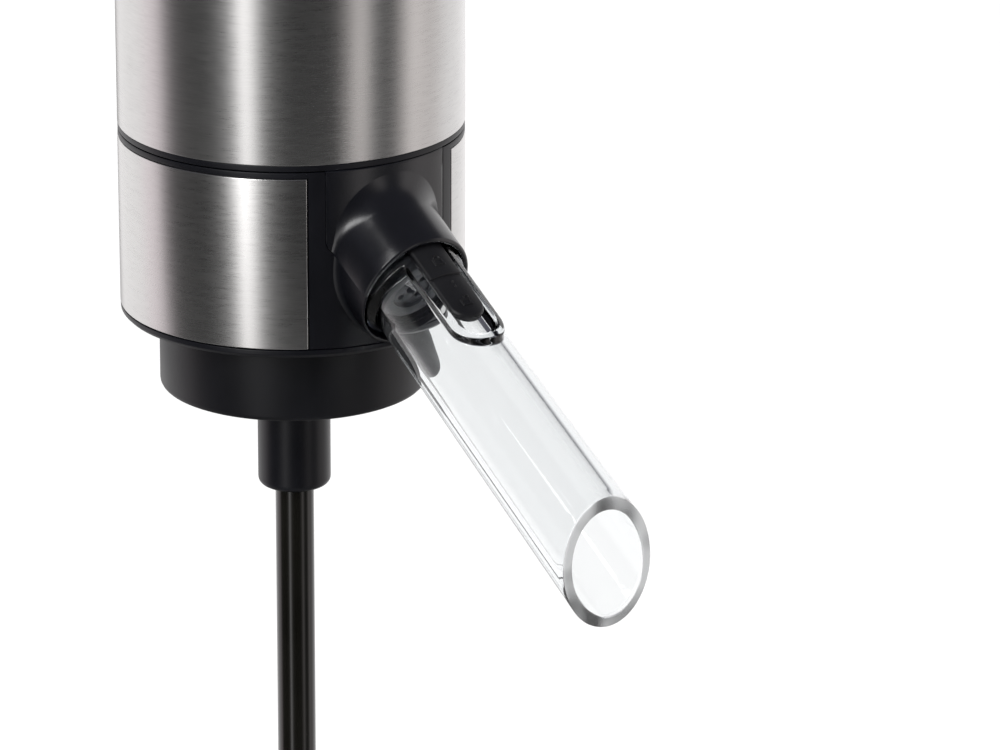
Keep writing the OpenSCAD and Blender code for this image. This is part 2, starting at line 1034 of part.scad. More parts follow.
module cover_liner()
{
    color("#1f2023")
        difference() {
            union() {
                translate([0, 0, liner_z0])
                    cylinder(r = shell_r - 0.02, h = cap_plug_z - 0.02 - liner_z0);
                translate([0, 0, liner_z0])
                    cylinder(r = black_r, h = sleeve_z0 - 0.02 - liner_z0);
            }
            translate([0, 0, 0])
                cylinder(r = liner_bore_r, h = 200);
        }
}

module steel_sleeve()
{
    color("#b9bbbd")
        ring(body_r, shell_r, sleeve_z0, sleeve_z1);
}

module top_cap()
{
    edge = 0.9;
    color("#17181a")
        difference() {
            rotate_extrude()
                union() {
                    translate([0, body_top_z - cap_t])
                        square([body_r - edge, cap_t]);
                    translate([0, body_top_z - cap_t])
                        square([body_r, cap_t - edge]);
                    intersection() {
                        translate([body_r - edge, body_top_z - edge])
                            circle(r = edge, $fn = 48);
                        translate([0, body_top_z - edge - eps])
                            square([body_r, edge + 1]);
                    }
                    translate([0, cap_plug_z])
                        square([shell_r - 0.03, body_top_z - cap_t - cap_plug_z + eps]);
                    translate([0, guide_z0 + guide_t])
                        square([button_tube_r + 1.5, cap_plug_z - guide_z0 - guide_t + eps]);
                }
            translate([0, 0, cap_plug_z - 1])
                cylinder(r = button_r + 0.15, h = 10);
            translate([0, 0, 0])
                cylinder(r = button_tube_r, h = cap_plug_z);
        }
}

module button_guide()
{
    color("#2c2f33")
        ring(button_tube_r + 1.5, 5, guide_z0, guide_z0 + guide_t - 0.02);
}

module button_spring()
{
    spring_z0 = guide_z0 + guide_t;
    color("#c8ccd0")
        ring(8.4, 7.8, spring_z0, flange_z0 - 0.02);
}

module power_button()
{
    color("#2a2b2e")
        difference() {
            union() {
                translate([0, 0, flange_z1 - eps])
                    cylinder(r = button_r, h = body_top_z + 0.3 - flange_z1);
                translate([0, 0, flange_z0])
                    cylinder(r = button_tube_r - 0.4, h = flange_z1 - flange_z0);
                translate([0, 0, button_foot_z])
                    cylinder(r = 2.7, h = 3, $fn = 48);
            }
            translate([0, 0, body_top_z - 0.1])
                cylinder(r = button_r - 1.3, h = 2);
        }
}

module button_disc()
{
    color("#c4c6c8")
        translate([0, 0, body_top_z - 0.09])
            cylinder(r = button_r - 1.33, h = 0.5);
}

// ---- Spout and lock tab ----

module spout()
{
    pocket_half_w = tab_w / 2 + free_gap;
    pocket_end_l = tab_end_l + tab_travel + 1;
    color("#dfe8ea", 0.5)
        on_spout()
            difference() {
                union() {
                    translate([0, 0, cup_start_l])
                        cylinder(r = cup_r, h = cup_end_l - cup_start_l - 0.8);
                    translate([0, 0, cup_end_l - 0.8 - eps])
                        cylinder(r1 = cup_r, r2 = tube_r, h = 1.2);
                    translate([0, 0, cup_end_l - 1])
                        cylinder(r1 = tube_r, r2 = mouth_r, h = mouth_l + 8 - cup_end_l + 1);
                    intersection() {
                        raise_tab(4, 12)
                            tab_outline(
                                pocket_half_w + pocket_wall, cup_start_l, pocket_end_l + pocket_wall
                            );
                        translate([0, 0, cup_start_l])
                            cylinder(r = pocket_top_r, h = 60);
                    }
                }
                // Pocket of the lock tab, with a groove for its side ribs
                raise_tab(tab_floor_t, 12)
                    tab_outline(pocket_half_w, cup_start_l - 5, pocket_end_l);
                translate([-pocket_half_w - 0.6, tab_floor_t, cup_start_l - 5])
                    cube([2 * pocket_half_w + 1.2, 0.8, tab_end_l - cup_start_l + 4]);
                // Bore, straight over the nozzle and wider towards the mouth
                translate([0, 0, cup_start_l - 1])
                    cylinder(r = spout_bore_r, h = bore_straight_l - cup_start_l + 1 + eps);
                translate([0, 0, bore_straight_l])
                    cylinder(r1 = spout_bore_r, r2 = mouth_bore_r, h = mouth_l + 8 - bore_straight_l + eps);
                // Mouth, cut so that the lower lip is the longest
                translate([0, 0, mouth_l])
                    rotate([-mouth_angle, 0, 0])
                        translate([-20, -20, 0])
                            cube([40, 40, 40]);
            }
}

module lock_tab()
{
    rib_w = 0.5;
    color("#1b1c1e")
        on_spout()
            difference() {
                union() {
                    intersection() {
                        raise_tab(tab_floor_t + 0.1, 12)
                            tab_outline(tab_w / 2, tab_start_l, tab_end_l);
                        translate([0, 0, 20])
                            cylinder(r = pocket_top_r - 0.1, h = 60);
                    }
                    translate([-tab_w / 2 - rib_w, tab_floor_t + 0.1, tab_start_l])
                        cube([tab_w + 2 * rib_w, 0.5, tab_end_l - tab_w / 2 - tab_start_l - tab_travel]);
                }
                // Groove between the two halves of the tab
                translate([-10, pocket_top_r - 0.55, tab_groove_l - 0.2])
                    cube([20, 2, 0.4]);
            }
}

// ---- Dip tube ----

module dip_tube_outer()
{
    color("#26241f")
        ring(dip_r - 0.01, dip_bore_r, -dip_depth, floor_z - 0.05);
}

module dip_tube_inner()
{
    color("#34322c")
        ring(inner_tube_r, inner_tube_bore_r, -dip_depth - 8, -dip_depth + dip_travel + 15);
}

module dip_tube_tip()
{
    tip_z1 = -dip_depth - 0.5;
    color("#1b1c1e")
        difference() {
            ring(dip_r + 0.2, inner_tube_r + 0.02, tip_z1 - 9.5, tip_z1);
            for (a = [0, 90])
                rotate([0, 0, a])
                    translate([-10, -1, tip_z1 - 10])
                        cube([20, 2, 2]);
        }
}

stopper_stem();
stopper_sleeve();
neck_gasket();
bottle_collar();
base_plate();
base_screws();
lower_housing();
front_panel();
steel_wrap();
manifold();
nozzle_oring();
aerator_jet();
air_check_valve();
air_hose();
chassis();
chassis_screws();
pump_cap();
pump_valve_plate();
pump_diaphragm();
pump_frame();
wobble_plate();
crank_collar();
motor_shaft();
motor_rotor();
motor_can();
motor_magnets();
motor_end_cap();
motor_damper();
battery_carrier();
battery_cells();
contact_springs();
contact_plates();
motor_leads();
circuit_board();
push_switch();
switch_plunger();
cover_liner();
steel_sleeve();
top_cap();
button_guide();
button_spring();
power_button();
button_disc();
spout();
lock_tab();
dip_tube_outer();
dip_tube_inner();
dip_tube_tip();
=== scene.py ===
"""Looks of the electric wine aerator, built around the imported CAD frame."""
import json
import math
from math import cos, hypot, pi, radians, sin, sqrt, tan, tau

import bmesh
import bpy
from mathutils import Matrix, Vector


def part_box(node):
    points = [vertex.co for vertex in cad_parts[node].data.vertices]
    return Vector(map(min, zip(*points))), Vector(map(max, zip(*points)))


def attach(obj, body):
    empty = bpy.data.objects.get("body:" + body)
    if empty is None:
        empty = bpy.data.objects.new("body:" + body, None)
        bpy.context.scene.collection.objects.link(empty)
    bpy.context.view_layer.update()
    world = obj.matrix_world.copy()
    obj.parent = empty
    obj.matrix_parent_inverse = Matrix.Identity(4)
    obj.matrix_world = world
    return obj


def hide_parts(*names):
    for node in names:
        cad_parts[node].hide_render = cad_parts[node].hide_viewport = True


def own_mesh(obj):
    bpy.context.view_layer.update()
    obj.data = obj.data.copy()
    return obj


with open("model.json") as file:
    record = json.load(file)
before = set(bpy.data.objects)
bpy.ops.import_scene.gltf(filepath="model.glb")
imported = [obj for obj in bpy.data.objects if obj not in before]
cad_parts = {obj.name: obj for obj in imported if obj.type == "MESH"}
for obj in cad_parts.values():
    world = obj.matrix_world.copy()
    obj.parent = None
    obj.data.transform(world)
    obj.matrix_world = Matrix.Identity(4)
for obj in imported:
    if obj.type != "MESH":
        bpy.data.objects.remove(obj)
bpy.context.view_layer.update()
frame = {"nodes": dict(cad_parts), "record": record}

# ---- Sizes, in millimetres, in the frame's own axes ----

MM = 0.001


def cad_mm(node):
    """Lowest Z, highest Z and reach towards +X of a CAD node, in millimetres."""
    low, high = (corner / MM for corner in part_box(node))
    return low.z, high.z, high.x


BAND_TOP, SLEEVE_TOP, BODY_R = cad_mm("steel_sleeve")
BLACK_R = BODY_R - 0.05
LINER_Z0 = cad_mm("cover_liner")[0]
HOUSING_Z1 = cad_mm("lower_housing")[1]
WRAP_Z0, WRAP_Z1 = cad_mm("steel_wrap")[:2]
PLATE_Z0, PLATE_Z1 = cad_mm("base_plate")[:2]
COLLAR_Z0, COLLAR_Z1, COLLAR_R = cad_mm("bottle_collar")
STEM_Z0 = cad_mm("stopper_stem")[0]
STEM_R = 5.65
STOPPER_R = 9.2
TOP_Z = cad_mm("top_cap")[1]
TIP_Z0, TIP_Z1 = cad_mm("dip_tube_tip")[:2]
TUBE_TRAVEL = 110.0         # how far the inner dip tube pulls out
WRAP_HALF_ANGLE = 30.2
PANEL_HALF_ANGLE = 24.1
PANEL_SEAM = 0.26
SHEET_ROUND = 0.14          # eased edge of the steel sheets
SLEEVE_T, WRAP_T = 0.5, 0.45
LINER_BORE_R = 24.5
HOUSING_BORE_R = 24.0
HOUSING_WALL = 1.5
PLATE_HOLE_R = 5.75
LIP_HOLE_R = 10.4           # opening of gasket and collar over the stopper
GASKET_TOP_Z = 1.4
BOSS_HOLE_R, BOSS_R = 1.0, 2.6
PLATE_BOSSES = (14.0, 12.0, (30, 150, 270))        # distance from the axis, top, places in degrees
CHASSIS_BOSSES = (20.6, 28.8, (15, 90, 165))

# Spout axis: it leaves the body axis at SPOUT_Z and falls by SPOUT_TILT towards -Y
SPOUT_Z = 32.1
SPOUT_TILT = radians(31.6)
SIN_T, COS_T = sin(SPOUT_TILT), cos(SPOUT_TILT)
NOSE_R = 9.85
LOWER_NOSE_R = 9.4
NOSE_BORE_R = 8.8
NOSE_RIM_L = 37.2
NOSE_RIM_SLOPE = tan(radians(9.4))
PART_ANGLE = 82.5
CUP_L0, CUP_L1, CUP_R = 25.0, 37.9, 8.5
TUBE_R, MOUTH_R, MOUTH_L = 7.3, 8.0, 92.3
MOUTH_SLOPE = tan(radians(35))
BORE_R, MOUTH_BORE_R, BORE_STRAIGHT_L = 5.9, 6.4, 42.0
POCKET_R, POCKET_FLOOR = 8.6, 7.0
POCKET_HALF_W, POCKET_WALL, POCKET_END_L = 3.3, 1.5, 53.5
TAB_HALF_W, TAB_L0, TAB_L1, TAB_GROOVE_L = 3.0, 31.0, 50.0, 41.7
MARK_RISE = 0.2

# ---- Camera ----

CAMERA_AZIMUTH = 35.0       # degrees that the camera stands to the left of the spout's side
CAMERA_DISTANCE = 847.6
CAMERA_ELEVATION = 16.18
AIM_Z = BAND_TOP


def in_scene(name, data):
    """A new object in the scene that holds the data."""
    made = bpy.data.objects.new(name, data)
    bpy.context.scene.collection.objects.link(made)
    return made


def turn(vector, axis, degrees):
    return Matrix.Rotation(radians(degrees), 3, axis) @ vector


def make_camera():
    """A long lens aimed at the seam, then swung so that the body stands left of centre."""
    elevation = radians(CAMERA_ELEVATION)
    flat = CAMERA_DISTANCE * cos(elevation)
    azimuth = radians(CAMERA_AZIMUTH)
    place = Vector((
        -flat * sin(azimuth),
        -flat * cos(azimuth),
        AIM_Z + CAMERA_DISTANCE * sin(elevation),
    ))
    forward = (Vector((0, 0, AIM_Z)) - place).normalized()
    right = forward.cross(Vector((0, 0, 1))).normalized()
    up = right.cross(forward)
    pan, tilt, roll = -2.129, -2.679, 0.4241
    forward, right = turn(forward, up, pan), turn(right, up, pan)
    forward, up = turn(forward, right, tilt), turn(up, right, tilt)
    right, up = turn(right, forward, roll), turn(up, forward, roll)
    data = bpy.data.cameras.new("camera")
    data.lens = 200
    data.sensor_width = 36
    data.clip_start = 0.01
    data.clip_end = 100
    camera = in_scene("camera", data)
    basis = Matrix((right, up, -forward)).transposed().to_4x4()
    camera.matrix_world = Matrix.Translation(place * MM) @ basis
    bpy.context.scene.camera = camera


# ---- Material helpers ----


class Nodes:
    """Short-hand for building the node tree of a material, or of the world."""

    def __init__(self, owner):
        owner.use_nodes = True
        self.owner = owner
        self.tree = owner.node_tree
        self.shader = self.tree.nodes.get("Principled BSDF")

    def add(self, kind, **settings):
        made = self.tree.nodes.new(kind)
        for key, value in settings.items():
            setattr(made, key, value)
        return made

    def link(self, source, target):
        self.tree.links.new(source, target)

    def set(self, **values):
        for key, value in values.items():
            self.shader.inputs[key.replace("_", " ")].default_value = value

    def object_position(self, scale=(1, 1, 1)):
        """Object coordinates in millimetres, stretched by scale."""
        coordinates = self.add("ShaderNodeTexCoord")
        mapping = self.add("ShaderNodeMapping")
        mapping.inputs["Scale"].default_value = [s / MM for s in scale]
        self.link(coordinates.outputs["Object"], mapping.inputs["Vector"])
        return mapping.outputs["Vector"]

    def math(self, operation, first, second=None):
        made = self.add("ShaderNodeMath", operation=operation)
        for socket, value in zip(made.inputs, (first, second)):
            if isinstance(value, (int, float)):
                socket.default_value = value
            elif value is not None:
                self.link(value, socket)
        return made.outputs[0]

    def round_the_axis(self, turns, per_mm):
        """Coordinates that run round the body axis and up it: turns per radian and waves per mm."""
        split = self.add("ShaderNodeSeparateXYZ")
        self.link(self.object_position(), split.inputs[0])
        angle = self.math("ARCTAN2", split.outputs["Y"], split.outputs["X"])
        join = self.add("ShaderNodeCombineXYZ")
        self.link(self.math("MULTIPLY", angle, turns), join.inputs["X"])
        self.link(self.math("MULTIPLY", split.outputs["Z"], per_mm), join.inputs["Y"])
        return join.outputs[0]

    def noise(self, where, detail, rough):
        """Noise over a vector socket, or over the object's coordinates scaled by three numbers."""
        vector = self.object_position(where) if isinstance(where, (tuple, list)) else where
        made = self.add("ShaderNodeTexNoise")
        made.inputs["Scale"].default_value = 1.0
        made.inputs["Detail"].default_value = detail
        made.inputs["Roughness"].default_value = rough
        self.link(vector, made.inputs["Vector"])
        return made.outputs["Fac"]

    def ramp(self, fac, stops, interpolation="LINEAR"):
        made = self.add("ShaderNodeValToRGB")
        made.color_ramp.interpolation = interpolation
        elements = made.color_ramp.elements
        while len(elements) < len(stops):
            elements.new(0.5)
        for element, (place, colour) in zip(elements, stops):
            element.position = place
            element.color = (*colour, 1)
        self.link(fac, made.inputs["Fac"])
        return made.outputs["Color"]

    def grey(self, fac, low, high, start=0.3, end=0.7, curve="LINEAR"):
        """A value that runs from low to high as fac runs from start to end."""
        made = self.add("ShaderNodeMapRange", clamp=True, interpolation_type=curve)
        ends = {"From Min": start, "From Max": end, "To Min": low, "To Max": high}
        for key, value in ends.items():
            made.inputs[key].default_value = value
        self.link(fac, made.inputs["Value"])
        return made.outputs["Result"]

    def mix(self, fac, first, second):
        """From the colour first to the colour second; second is a socket or three numbers."""
        made = self.add("ShaderNodeMix", data_type="RGBA")
        self.link(fac, made.inputs["Factor"])
        self.link(first, made.inputs["A"])
        if isinstance(second, tuple):
            made.inputs["B"].default_value = (*second, 1)
        else:
            self.link(second, made.inputs["B"])
        return made.outputs["Result"]

    def bump(self, height, distance_mm, strength=1.0):
        made = self.add("ShaderNodeBump")
        made.inputs["Strength"].default_value = strength
        made.inputs["Distance"].default_value = distance_mm * MM
        self.link(height, made.inputs["Height"])
        return made.outputs["Normal"]

    def to_shader(self, **sources):
        for key, value in sources.items():
            self.link(value, self.shader.inputs[key.replace("_", " ")])


def brushed_steel(name, tint=(0.66, 0.655, 0.645), rough=(0.25, 0.33), streak=11, per_mm=6.5):
    """Stainless steel brushed round the body: fine streaks and a slow cloud of tone."""
    n = Nodes(bpy.data.materials.new(name))
    n.set(Metallic=1.0, Anisotropic=0.75, Anisotropic_Rotation=0.25)
    fine = n.noise(n.round_the_axis(streak, per_mm), 4, 0.7)
    wide = n.noise(n.round_the_axis(streak * 0.35, per_mm * 0.22), 2, 0.5)
    cloud = n.noise((0.03, 0.03, 0.03), 2, 0.5)
    mixed = n.math("ADD", n.math("MULTIPLY", fine, 0.7), n.math("MULTIPLY", wide, 0.3))
    low = tuple(c * 0.86 for c in tint)
    high = tuple(min(1.0, c * 1.10) for c in tint)
    n.to_shader(
        Base_Color=n.ramp(mixed, [(0.30, low), (0.50, tint), (0.72, high)]),
        Roughness=n.math("ADD", n.grey(mixed, *rough), n.grey(cloud, -0.02, 0.03)),
        Normal=n.bump(mixed, 0.012, 0.6),
    )
    tangent = n.add("ShaderNodeTangent", direction_type="RADIAL", axis="Z")
    n.link(tangent.outputs[0], n.shader.inputs["Tangent"])
    return n.owner


def moulded(
    name, colour, rough=0.4, grain=0.004, grain_mm=0.35, wear=0.06, coat=0.0, specular=0.36,
    cloud=0.2,
):
    """Moulded plastic or silicone: spark-eroded grain, a slow change of sheen and faint scuffs."""
    n = Nodes(bpy.data.materials.new(name))
    n.set(Specular_IOR_Level=specular)
    if coat:
        n.set(Coat_Weight=coat, Coat_Roughness=0.12)
    fine = n.noise([1 / grain_mm] * 3, 2, 0.6)
    slow = n.noise((0.09, 0.09, 0.05), 3, 0.6)
    scuff = n.noise((0.9, 0.9, 0.25), 5, 0.75)
    light = tuple(c * (1 + 1.25 * cloud) + 0.0008 for c in colour)
    dark = tuple(c * (1 - 0.75 * cloud) for c in colour)
    n.to_shader(
        Base_Color=n.ramp(slow, [(0.35, dark), (0.65, light)]),
        Roughness=n.math(
            "ADD", n.grey(slow, rough - 0.03, rough + 0.03), n.grey(scuff, 0.0, wear, 0.55, 0.8)
        ),
        Normal=n.bump(fine, grain, 0.8),
    )
    return n.owner


def clear_plastic(name, tint=(0.985, 0.99, 0.99), rough=0.0, ior=1.49):
    """Clear moulded acrylic: faint flow lines along the tube and a trace of surface haze."""
    n = Nodes(bpy.data.materials.new(name))
    n.set(Base_Color=(*tint, 1), Transmission_Weight=1.0, IOR=ior)
    haze = n.noise((0.25, 0.25, 0.25), 2, 0.5)
    flow = n.noise((0.35, 0.06, 0.06), 2, 0.5)
    n.to_shader(
        Roughness=n.grey(haze, rough, rough + 0.03, 0.55, 0.8),
        Normal=n.bump(flow, 0.02, 0.25),
    )
    # Long paths through the wall take up a little light, so its edges read darker
    depth = n.add("ShaderNodeVolumeAbsorption")
    depth.inputs["Color"].default_value = (0.885, 0.90, 0.91, 1)
    depth.inputs["Density"].default_value = 210
    n.link(depth.outputs[0], n.tree.nodes["Material Output"].inputs["Volume"])
    return n.owner


def frosted_plastic(name):
    """The same acrylic where it was cut: part of the light scatters in the face."""
    n = Nodes(bpy.data.materials.new(name))
    n.set(Base_Color=(0.93, 0.94, 0.95, 1), IOR=1.49)
    fine = n.noise((2.5, 2.5, 2.5), 3, 0.6)
    slow = n.noise((0.13, 0.13, 0.13), 1, 0.5)
    n.to_shader(
        Transmission_Weight=n.grey(slow, 0.5, 0.9, 0.4, 0.6),
        Roughness=n.grey(fine, 0.08, 0.2),
        Normal=n.bump(fine, 0.002, 0.5),
    )
    return n.owner


def metal(name, colour, rough=0.3, grain=0.004, grain_mm=0.2):
    """Plated or drawn metal for the inner parts."""
    n = Nodes(bpy.data.materials.new(name))
    n.set(Metallic=1.0)
    fine = n.noise([1 / grain_mm] * 3, 3, 0.6)
    slow = n.noise((0.2, 0.2, 0.2), 3, 0.6)
    n.to_shader(
        Base_Color=n.ramp(slow, [(0.3, tuple(c * 0.82 for c in colour)), (0.7, colour)]),
        Roughness=n.grey(slow, rough - 0.06, rough + 0.08),
        Normal=n.bump(fine, grain, 0.6),
    )
    return n.owner


def cell_sleeve(name):
    """The copper-coloured band of a plain battery sleeve, with a shrink-film sheen."""
    n = Nodes(bpy.data.materials.new(name))
    n.set(Metallic=0.35, Coat_Weight=0.5, Coat_Roughness=0.15, Roughness=0.32)
    film = n.noise((0.5, 0.5, 0.08), 3, 0.6)
    n.to_shader(
        Base_Color=n.ramp(film, [(0.3, (0.62, 0.27, 0.05)), (0.7, (0.78, 0.38, 0.09))]),
        Normal=n.bump(film, 0.02, 0.5),
    )
    return n.owner


BLACK = (0.0023, 0.0026, 0.0050)
MATERIALS = {
    "steel": brushed_steel("brushed_steel"),
    "black": moulded("satin_black", BLACK, rough=0.36),
    "nose": moulded(
        "nose_black", (0.0026, 0.0029, 0.0052), rough=0.23, grain=0.008, grain_mm=0.3, specular=0.7
    ),
    "collar": moulded("matte_black", (0.0022, 0.0025, 0.0046), rough=0.42, grain=0.005),
    "gloss": moulded("gloss_black", (0.003, 0.003, 0.0035), rough=0.12, grain=0.0006, coat=0.6),
    "tab": moulded("tab_black", (0.006, 0.006, 0.0075), rough=0.42, grain=0.006, grain_mm=0.25),
    "silicone": moulded("silicone", (0.008, 0.008, 0.0085), rough=0.62, grain=0.003, wear=0.1),
    "milky": moulded("milky_silicone", (0.66, 0.67, 0.65), rough=0.45, grain=0.002, cloud=0.03),
    "inner": moulded("inner_grey", (0.035, 0.038, 0.043), rough=0.48),
    "white": moulded("white_pom", (0.76, 0.76, 0.73), rough=0.4, grain=0.002, cloud=0.03),
    "rubber": moulded("rubber", (0.014, 0.014, 0.014), rough=0.55),
    "clear": clear_plastic("clear_acrylic"),
    "frosted": frosted_plastic("frosted_edge"),
    "smoked": moulded("smoked_tube", (0.004, 0.0037, 0.0026), rough=0.16, grain=0.001, coat=0.4),
    "screw": metal("zinc", (0.62, 0.63, 0.66), 0.28),
    "can": metal("motor_steel", (0.5, 0.51, 0.53), 0.32),
    "magnet": moulded("ferrite", (0.03, 0.03, 0.034), rough=0.5, grain=0.01, grain_mm=0.15),
    "rotor": metal("rotor_wire", (0.55, 0.24, 0.1), 0.38, 0.02, 0.4),
    "contact": metal("nickel", (0.68, 0.67, 0.62), 0.22),
    "lead": moulded("red_pvc", (0.4, 0.012, 0.012), rough=0.35, grain=0.001),
    "board": moulded("solder_mask", (0.01, 0.09, 0.035), rough=0.25, grain=0.001, coat=0.5),
    "cell": cell_sleeve("cell_sleeve"),
    "cell_dark": moulded("cell_dark", (0.02, 0.021, 0.024), rough=0.28, grain=0.001, coat=0.5),
}

# Where a CAD node keeps its own mesh, it takes the finish of its material slot
SLOT_MATERIAL = {
    "black_plastic": "black", "collar_plastic": "collar", "gloss_black": "gloss",
    "brushed_steel": "steel", "clear_plastic": "clear", "tab_plastic": "tab",
    "silicone_black": "silicone", "silicone_clear": "milky", "inner_plastic": "inner",
    "white_plastic": "white", "diaphragm_rubber": "rubber", "zinc_steel": "screw",
    "motor_steel": "can", "magnet": "magnet", "rotor": "rotor", "cell": "cell",
    "contact": "contact", "lead": "lead", "board": "board", "dip_tube": "smoked",
}
SLOT_OF = {s["node"]: s["material_slot"] for s in frame["record"]["subparts"]}
BODY_OF = {
    node: body
    for body, members in frame["record"]["behaviour"]["bodies"].items()
    for node in members
}

# ---- Mesh helpers: all points are in millimetres ----


def mesh_piece(name, points, faces, material, node, sharp=32.0, replaces=True):
    """An object from points and faces, with its finish, that rides with its CAD node."""
    data = bpy.data.meshes.new(name)
    data.from_pydata([[c * MM for c in p] for p in points], [], faces)
    data.validate()
    cleaner = bmesh.new()
    cleaner.from_mesh(data)
    bmesh.ops.remove_doubles(cleaner, verts=cleaner.verts, dist=1e-7)
    bmesh.ops.recalc_face_normals(cleaner, faces=cleaner.faces)
    cleaner.to_mesh(data)
    cleaner.free()
    data.shade_smooth()
    data.set_sharp_from_angle(angle=radians(sharp))
    data.materials.append(MATERIALS[material])
    made = in_scene(name, data)
    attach(made, BODY_OF[node])
    if replaces:
        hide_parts(node)
    return made


def join_parts(parts):
    """One (points, faces) pair from several."""
    points, faces = [], []
    for more, shapes in parts:
        faces += [[i + len(points) for i in f] for f in shapes]
        points += more
    return points, faces


def rounded(outline, radius, steps=5):
    """A closed outline with rounded corners. radius is one number, or one for each corner."""
    made = []
    count = len(outline)
    radii = radius if isinstance(radius, (list, tuple)) else [radius] * count
    for i, (point, r) in enumerate(zip(outline, radii)):
        here = Vector(point)
        back = Vector(outline[i - 1]) - here
        ahead = Vector(outline[(i + 1) % count]) - here
        half = back.angle(ahead) / 2
        if r <= 0 or half > radians(88):
            made.append(tuple(here))
            continue
        reach = min(r / tan(half), back.length * 0.48, ahead.length * 0.48)
        r = reach * tan(half)
        inward = (back.normalized() + ahead.normalized()).normalized()
        middle = here + inward * (r / sin(half))
        start = here + back.normalized() * reach - middle
        end = here + ahead.normalized() * reach - middle
        sweep = start.angle_signed(end)
        for k in range(steps + 1):
            angle = -sweep * k / steps
            c, s = cos(angle), sin(angle)
            x = middle.x + start.x * c - start.y * s
            y = middle.y + start.x * s + start.y * c
            made.append((x, y))
    return made


def revolved(profile, start=0.0, end=360.0, segments=192):
    """A closed (r, z) profile turned round the body axis; angles run from -Y towards +X."""
    full = abs(end - start) > 359.9
    rows = segments if full else segments + 1
    points, faces = [], []
    count = len(profile)
    for k in range(rows):
        a = radians(start + (end - start) * k / segments)
        points += [(r * sin(a), -r * cos(a), z) for r, z in profile]
    for k in range(segments):
        near, far = k * count, ((k + 1) % rows) * count
        for i in range(count):
            j = (i + 1) % count
            faces.append([near + i, near + j, far + j, far + i])
    if not full:
        faces.append(list(range(count)))
        faces.append([segments * count + i for i in reversed(range(count))])
    return points, faces


def ring_profile(inner, outer, z0, z1, radius=0.2, steps=4):
    return rounded([(inner, z0), (outer, z0), (outer, z1), (inner, z1)], radius, steps)


def turned_piece(name, material, node, profile, segments=192, sharp=32.0):
    """A piece that is one profile turned all the way round the body axis."""
    mesh_piece(name, *revolved(profile, segments=segments), material, node, sharp=sharp)


def moved(part, x=0.0, y=0.0, z=0.0, turn_z=0.0):
    points, faces = part
    c, s = polar(1.0, turn_z)
    shifted = [(p[0] * c - p[1] * s + x, p[0] * s + p[1] * c + y, p[2] + z) for p in points]
    return shifted, faces


def polar(radius, degrees):
    a = radians(degrees)
    return radius * cos(a), radius * sin(a)


def loops_to_mesh(loops, closed_loop=True, caps=False, closed_row=False):
    """Faces between neighbouring loops with the same number of points."""
    count = len(loops[0])
    points = [p for loop in loops for p in loop]
    faces = []
    rows = len(loops) if closed_row else len(loops) - 1
    for k in range(rows):
        near, far = k * count, ((k + 1) % len(loops)) * count
        for i in range(count if closed_loop else count - 1):
            j = (i + 1) % count
            faces.append([near + i, near + j, far + j, far + i])
    if caps:
        faces.append(list(range(count)))
        faces.append([(len(loops) - 1) * count + i for i in reversed(range(count))])
    return points, faces


def spout_point(radius, along, degrees):
    """A point by its distance from the spout axis, distance along it and angle from its top."""
    a = radians(degrees)
    up, side = radius * cos(a), radius * sin(a)
    return (side, -along * COS_T - up * SIN_T, SPOUT_Z - along * SIN_T + up * COS_T)


def blend01(x):
    x = max(0.0, min(1.0, x))
    return x * x * (3 - 2 * x)


def between(a, b, count):
    return [a + (b - a) * k / (count - 1) for k in range(count)]


# ---- The black front: inset panel and nose ----


def wall_along(radius, degrees, depth=0.0):
    """How far along the spout axis the body's surface lies, at a distance from that axis."""
    a = radians(degrees)
    side, up = radius * sin(a), radius * cos(a)
    body = BLACK_R - depth
    return (sqrt(body * body - side * side) - up * SIN_T) / COS_T


def on_wall(radius, degrees, depth=0.0):
    return spout_point(radius, wall_along(radius, degrees, depth), degrees)


PANEL_SIDE = BLACK_R * sin(radians(PANEL_HALF_ANGLE))
PANEL_CORNER_R = 2.6
PANEL_CORNER_Z = 20.75
PANEL_GAP, FACE_GAP = 0.13, 0.03       # round the panel, and between stacked black parts


def in_panel(point):
    x, z = abs(point[0]), point[2]
    if x > PANEL_SIDE or z > HOUSING_Z1 - FACE_GAP:
        return False
    over_x, under_z = x - (PANEL_SIDE - PANEL_CORNER_R), PANEL_CORNER_Z - z
    return over_x <= 0 or under_z <= 0 or hypot(over_x, under_z) <= PANEL_CORNER_R


def in_lower_front(point):
    return abs(point[0]) <= PANEL_SIDE + PANEL_GAP and point[2] >= PLATE_Z1 + FACE_GAP


def reach_out(degrees, start, inside):
    """The largest distance from the spout axis at which the body's surface is still inside."""
    low, high = start, start + 0.02
    while high < 24 and inside(on_wall(high, degrees)):
        low, high = high, high + 0.25
    for _ in range(24):
        middle = (low + high) / 2
        if inside(on_wall(middle, degrees)):
            low = middle
        else:
            high = middle
    return low


def rim_along(radius, degrees):
    return NOSE_RIM_L - NOSE_RIM_SLOPE * radius * cos(radians(degrees))


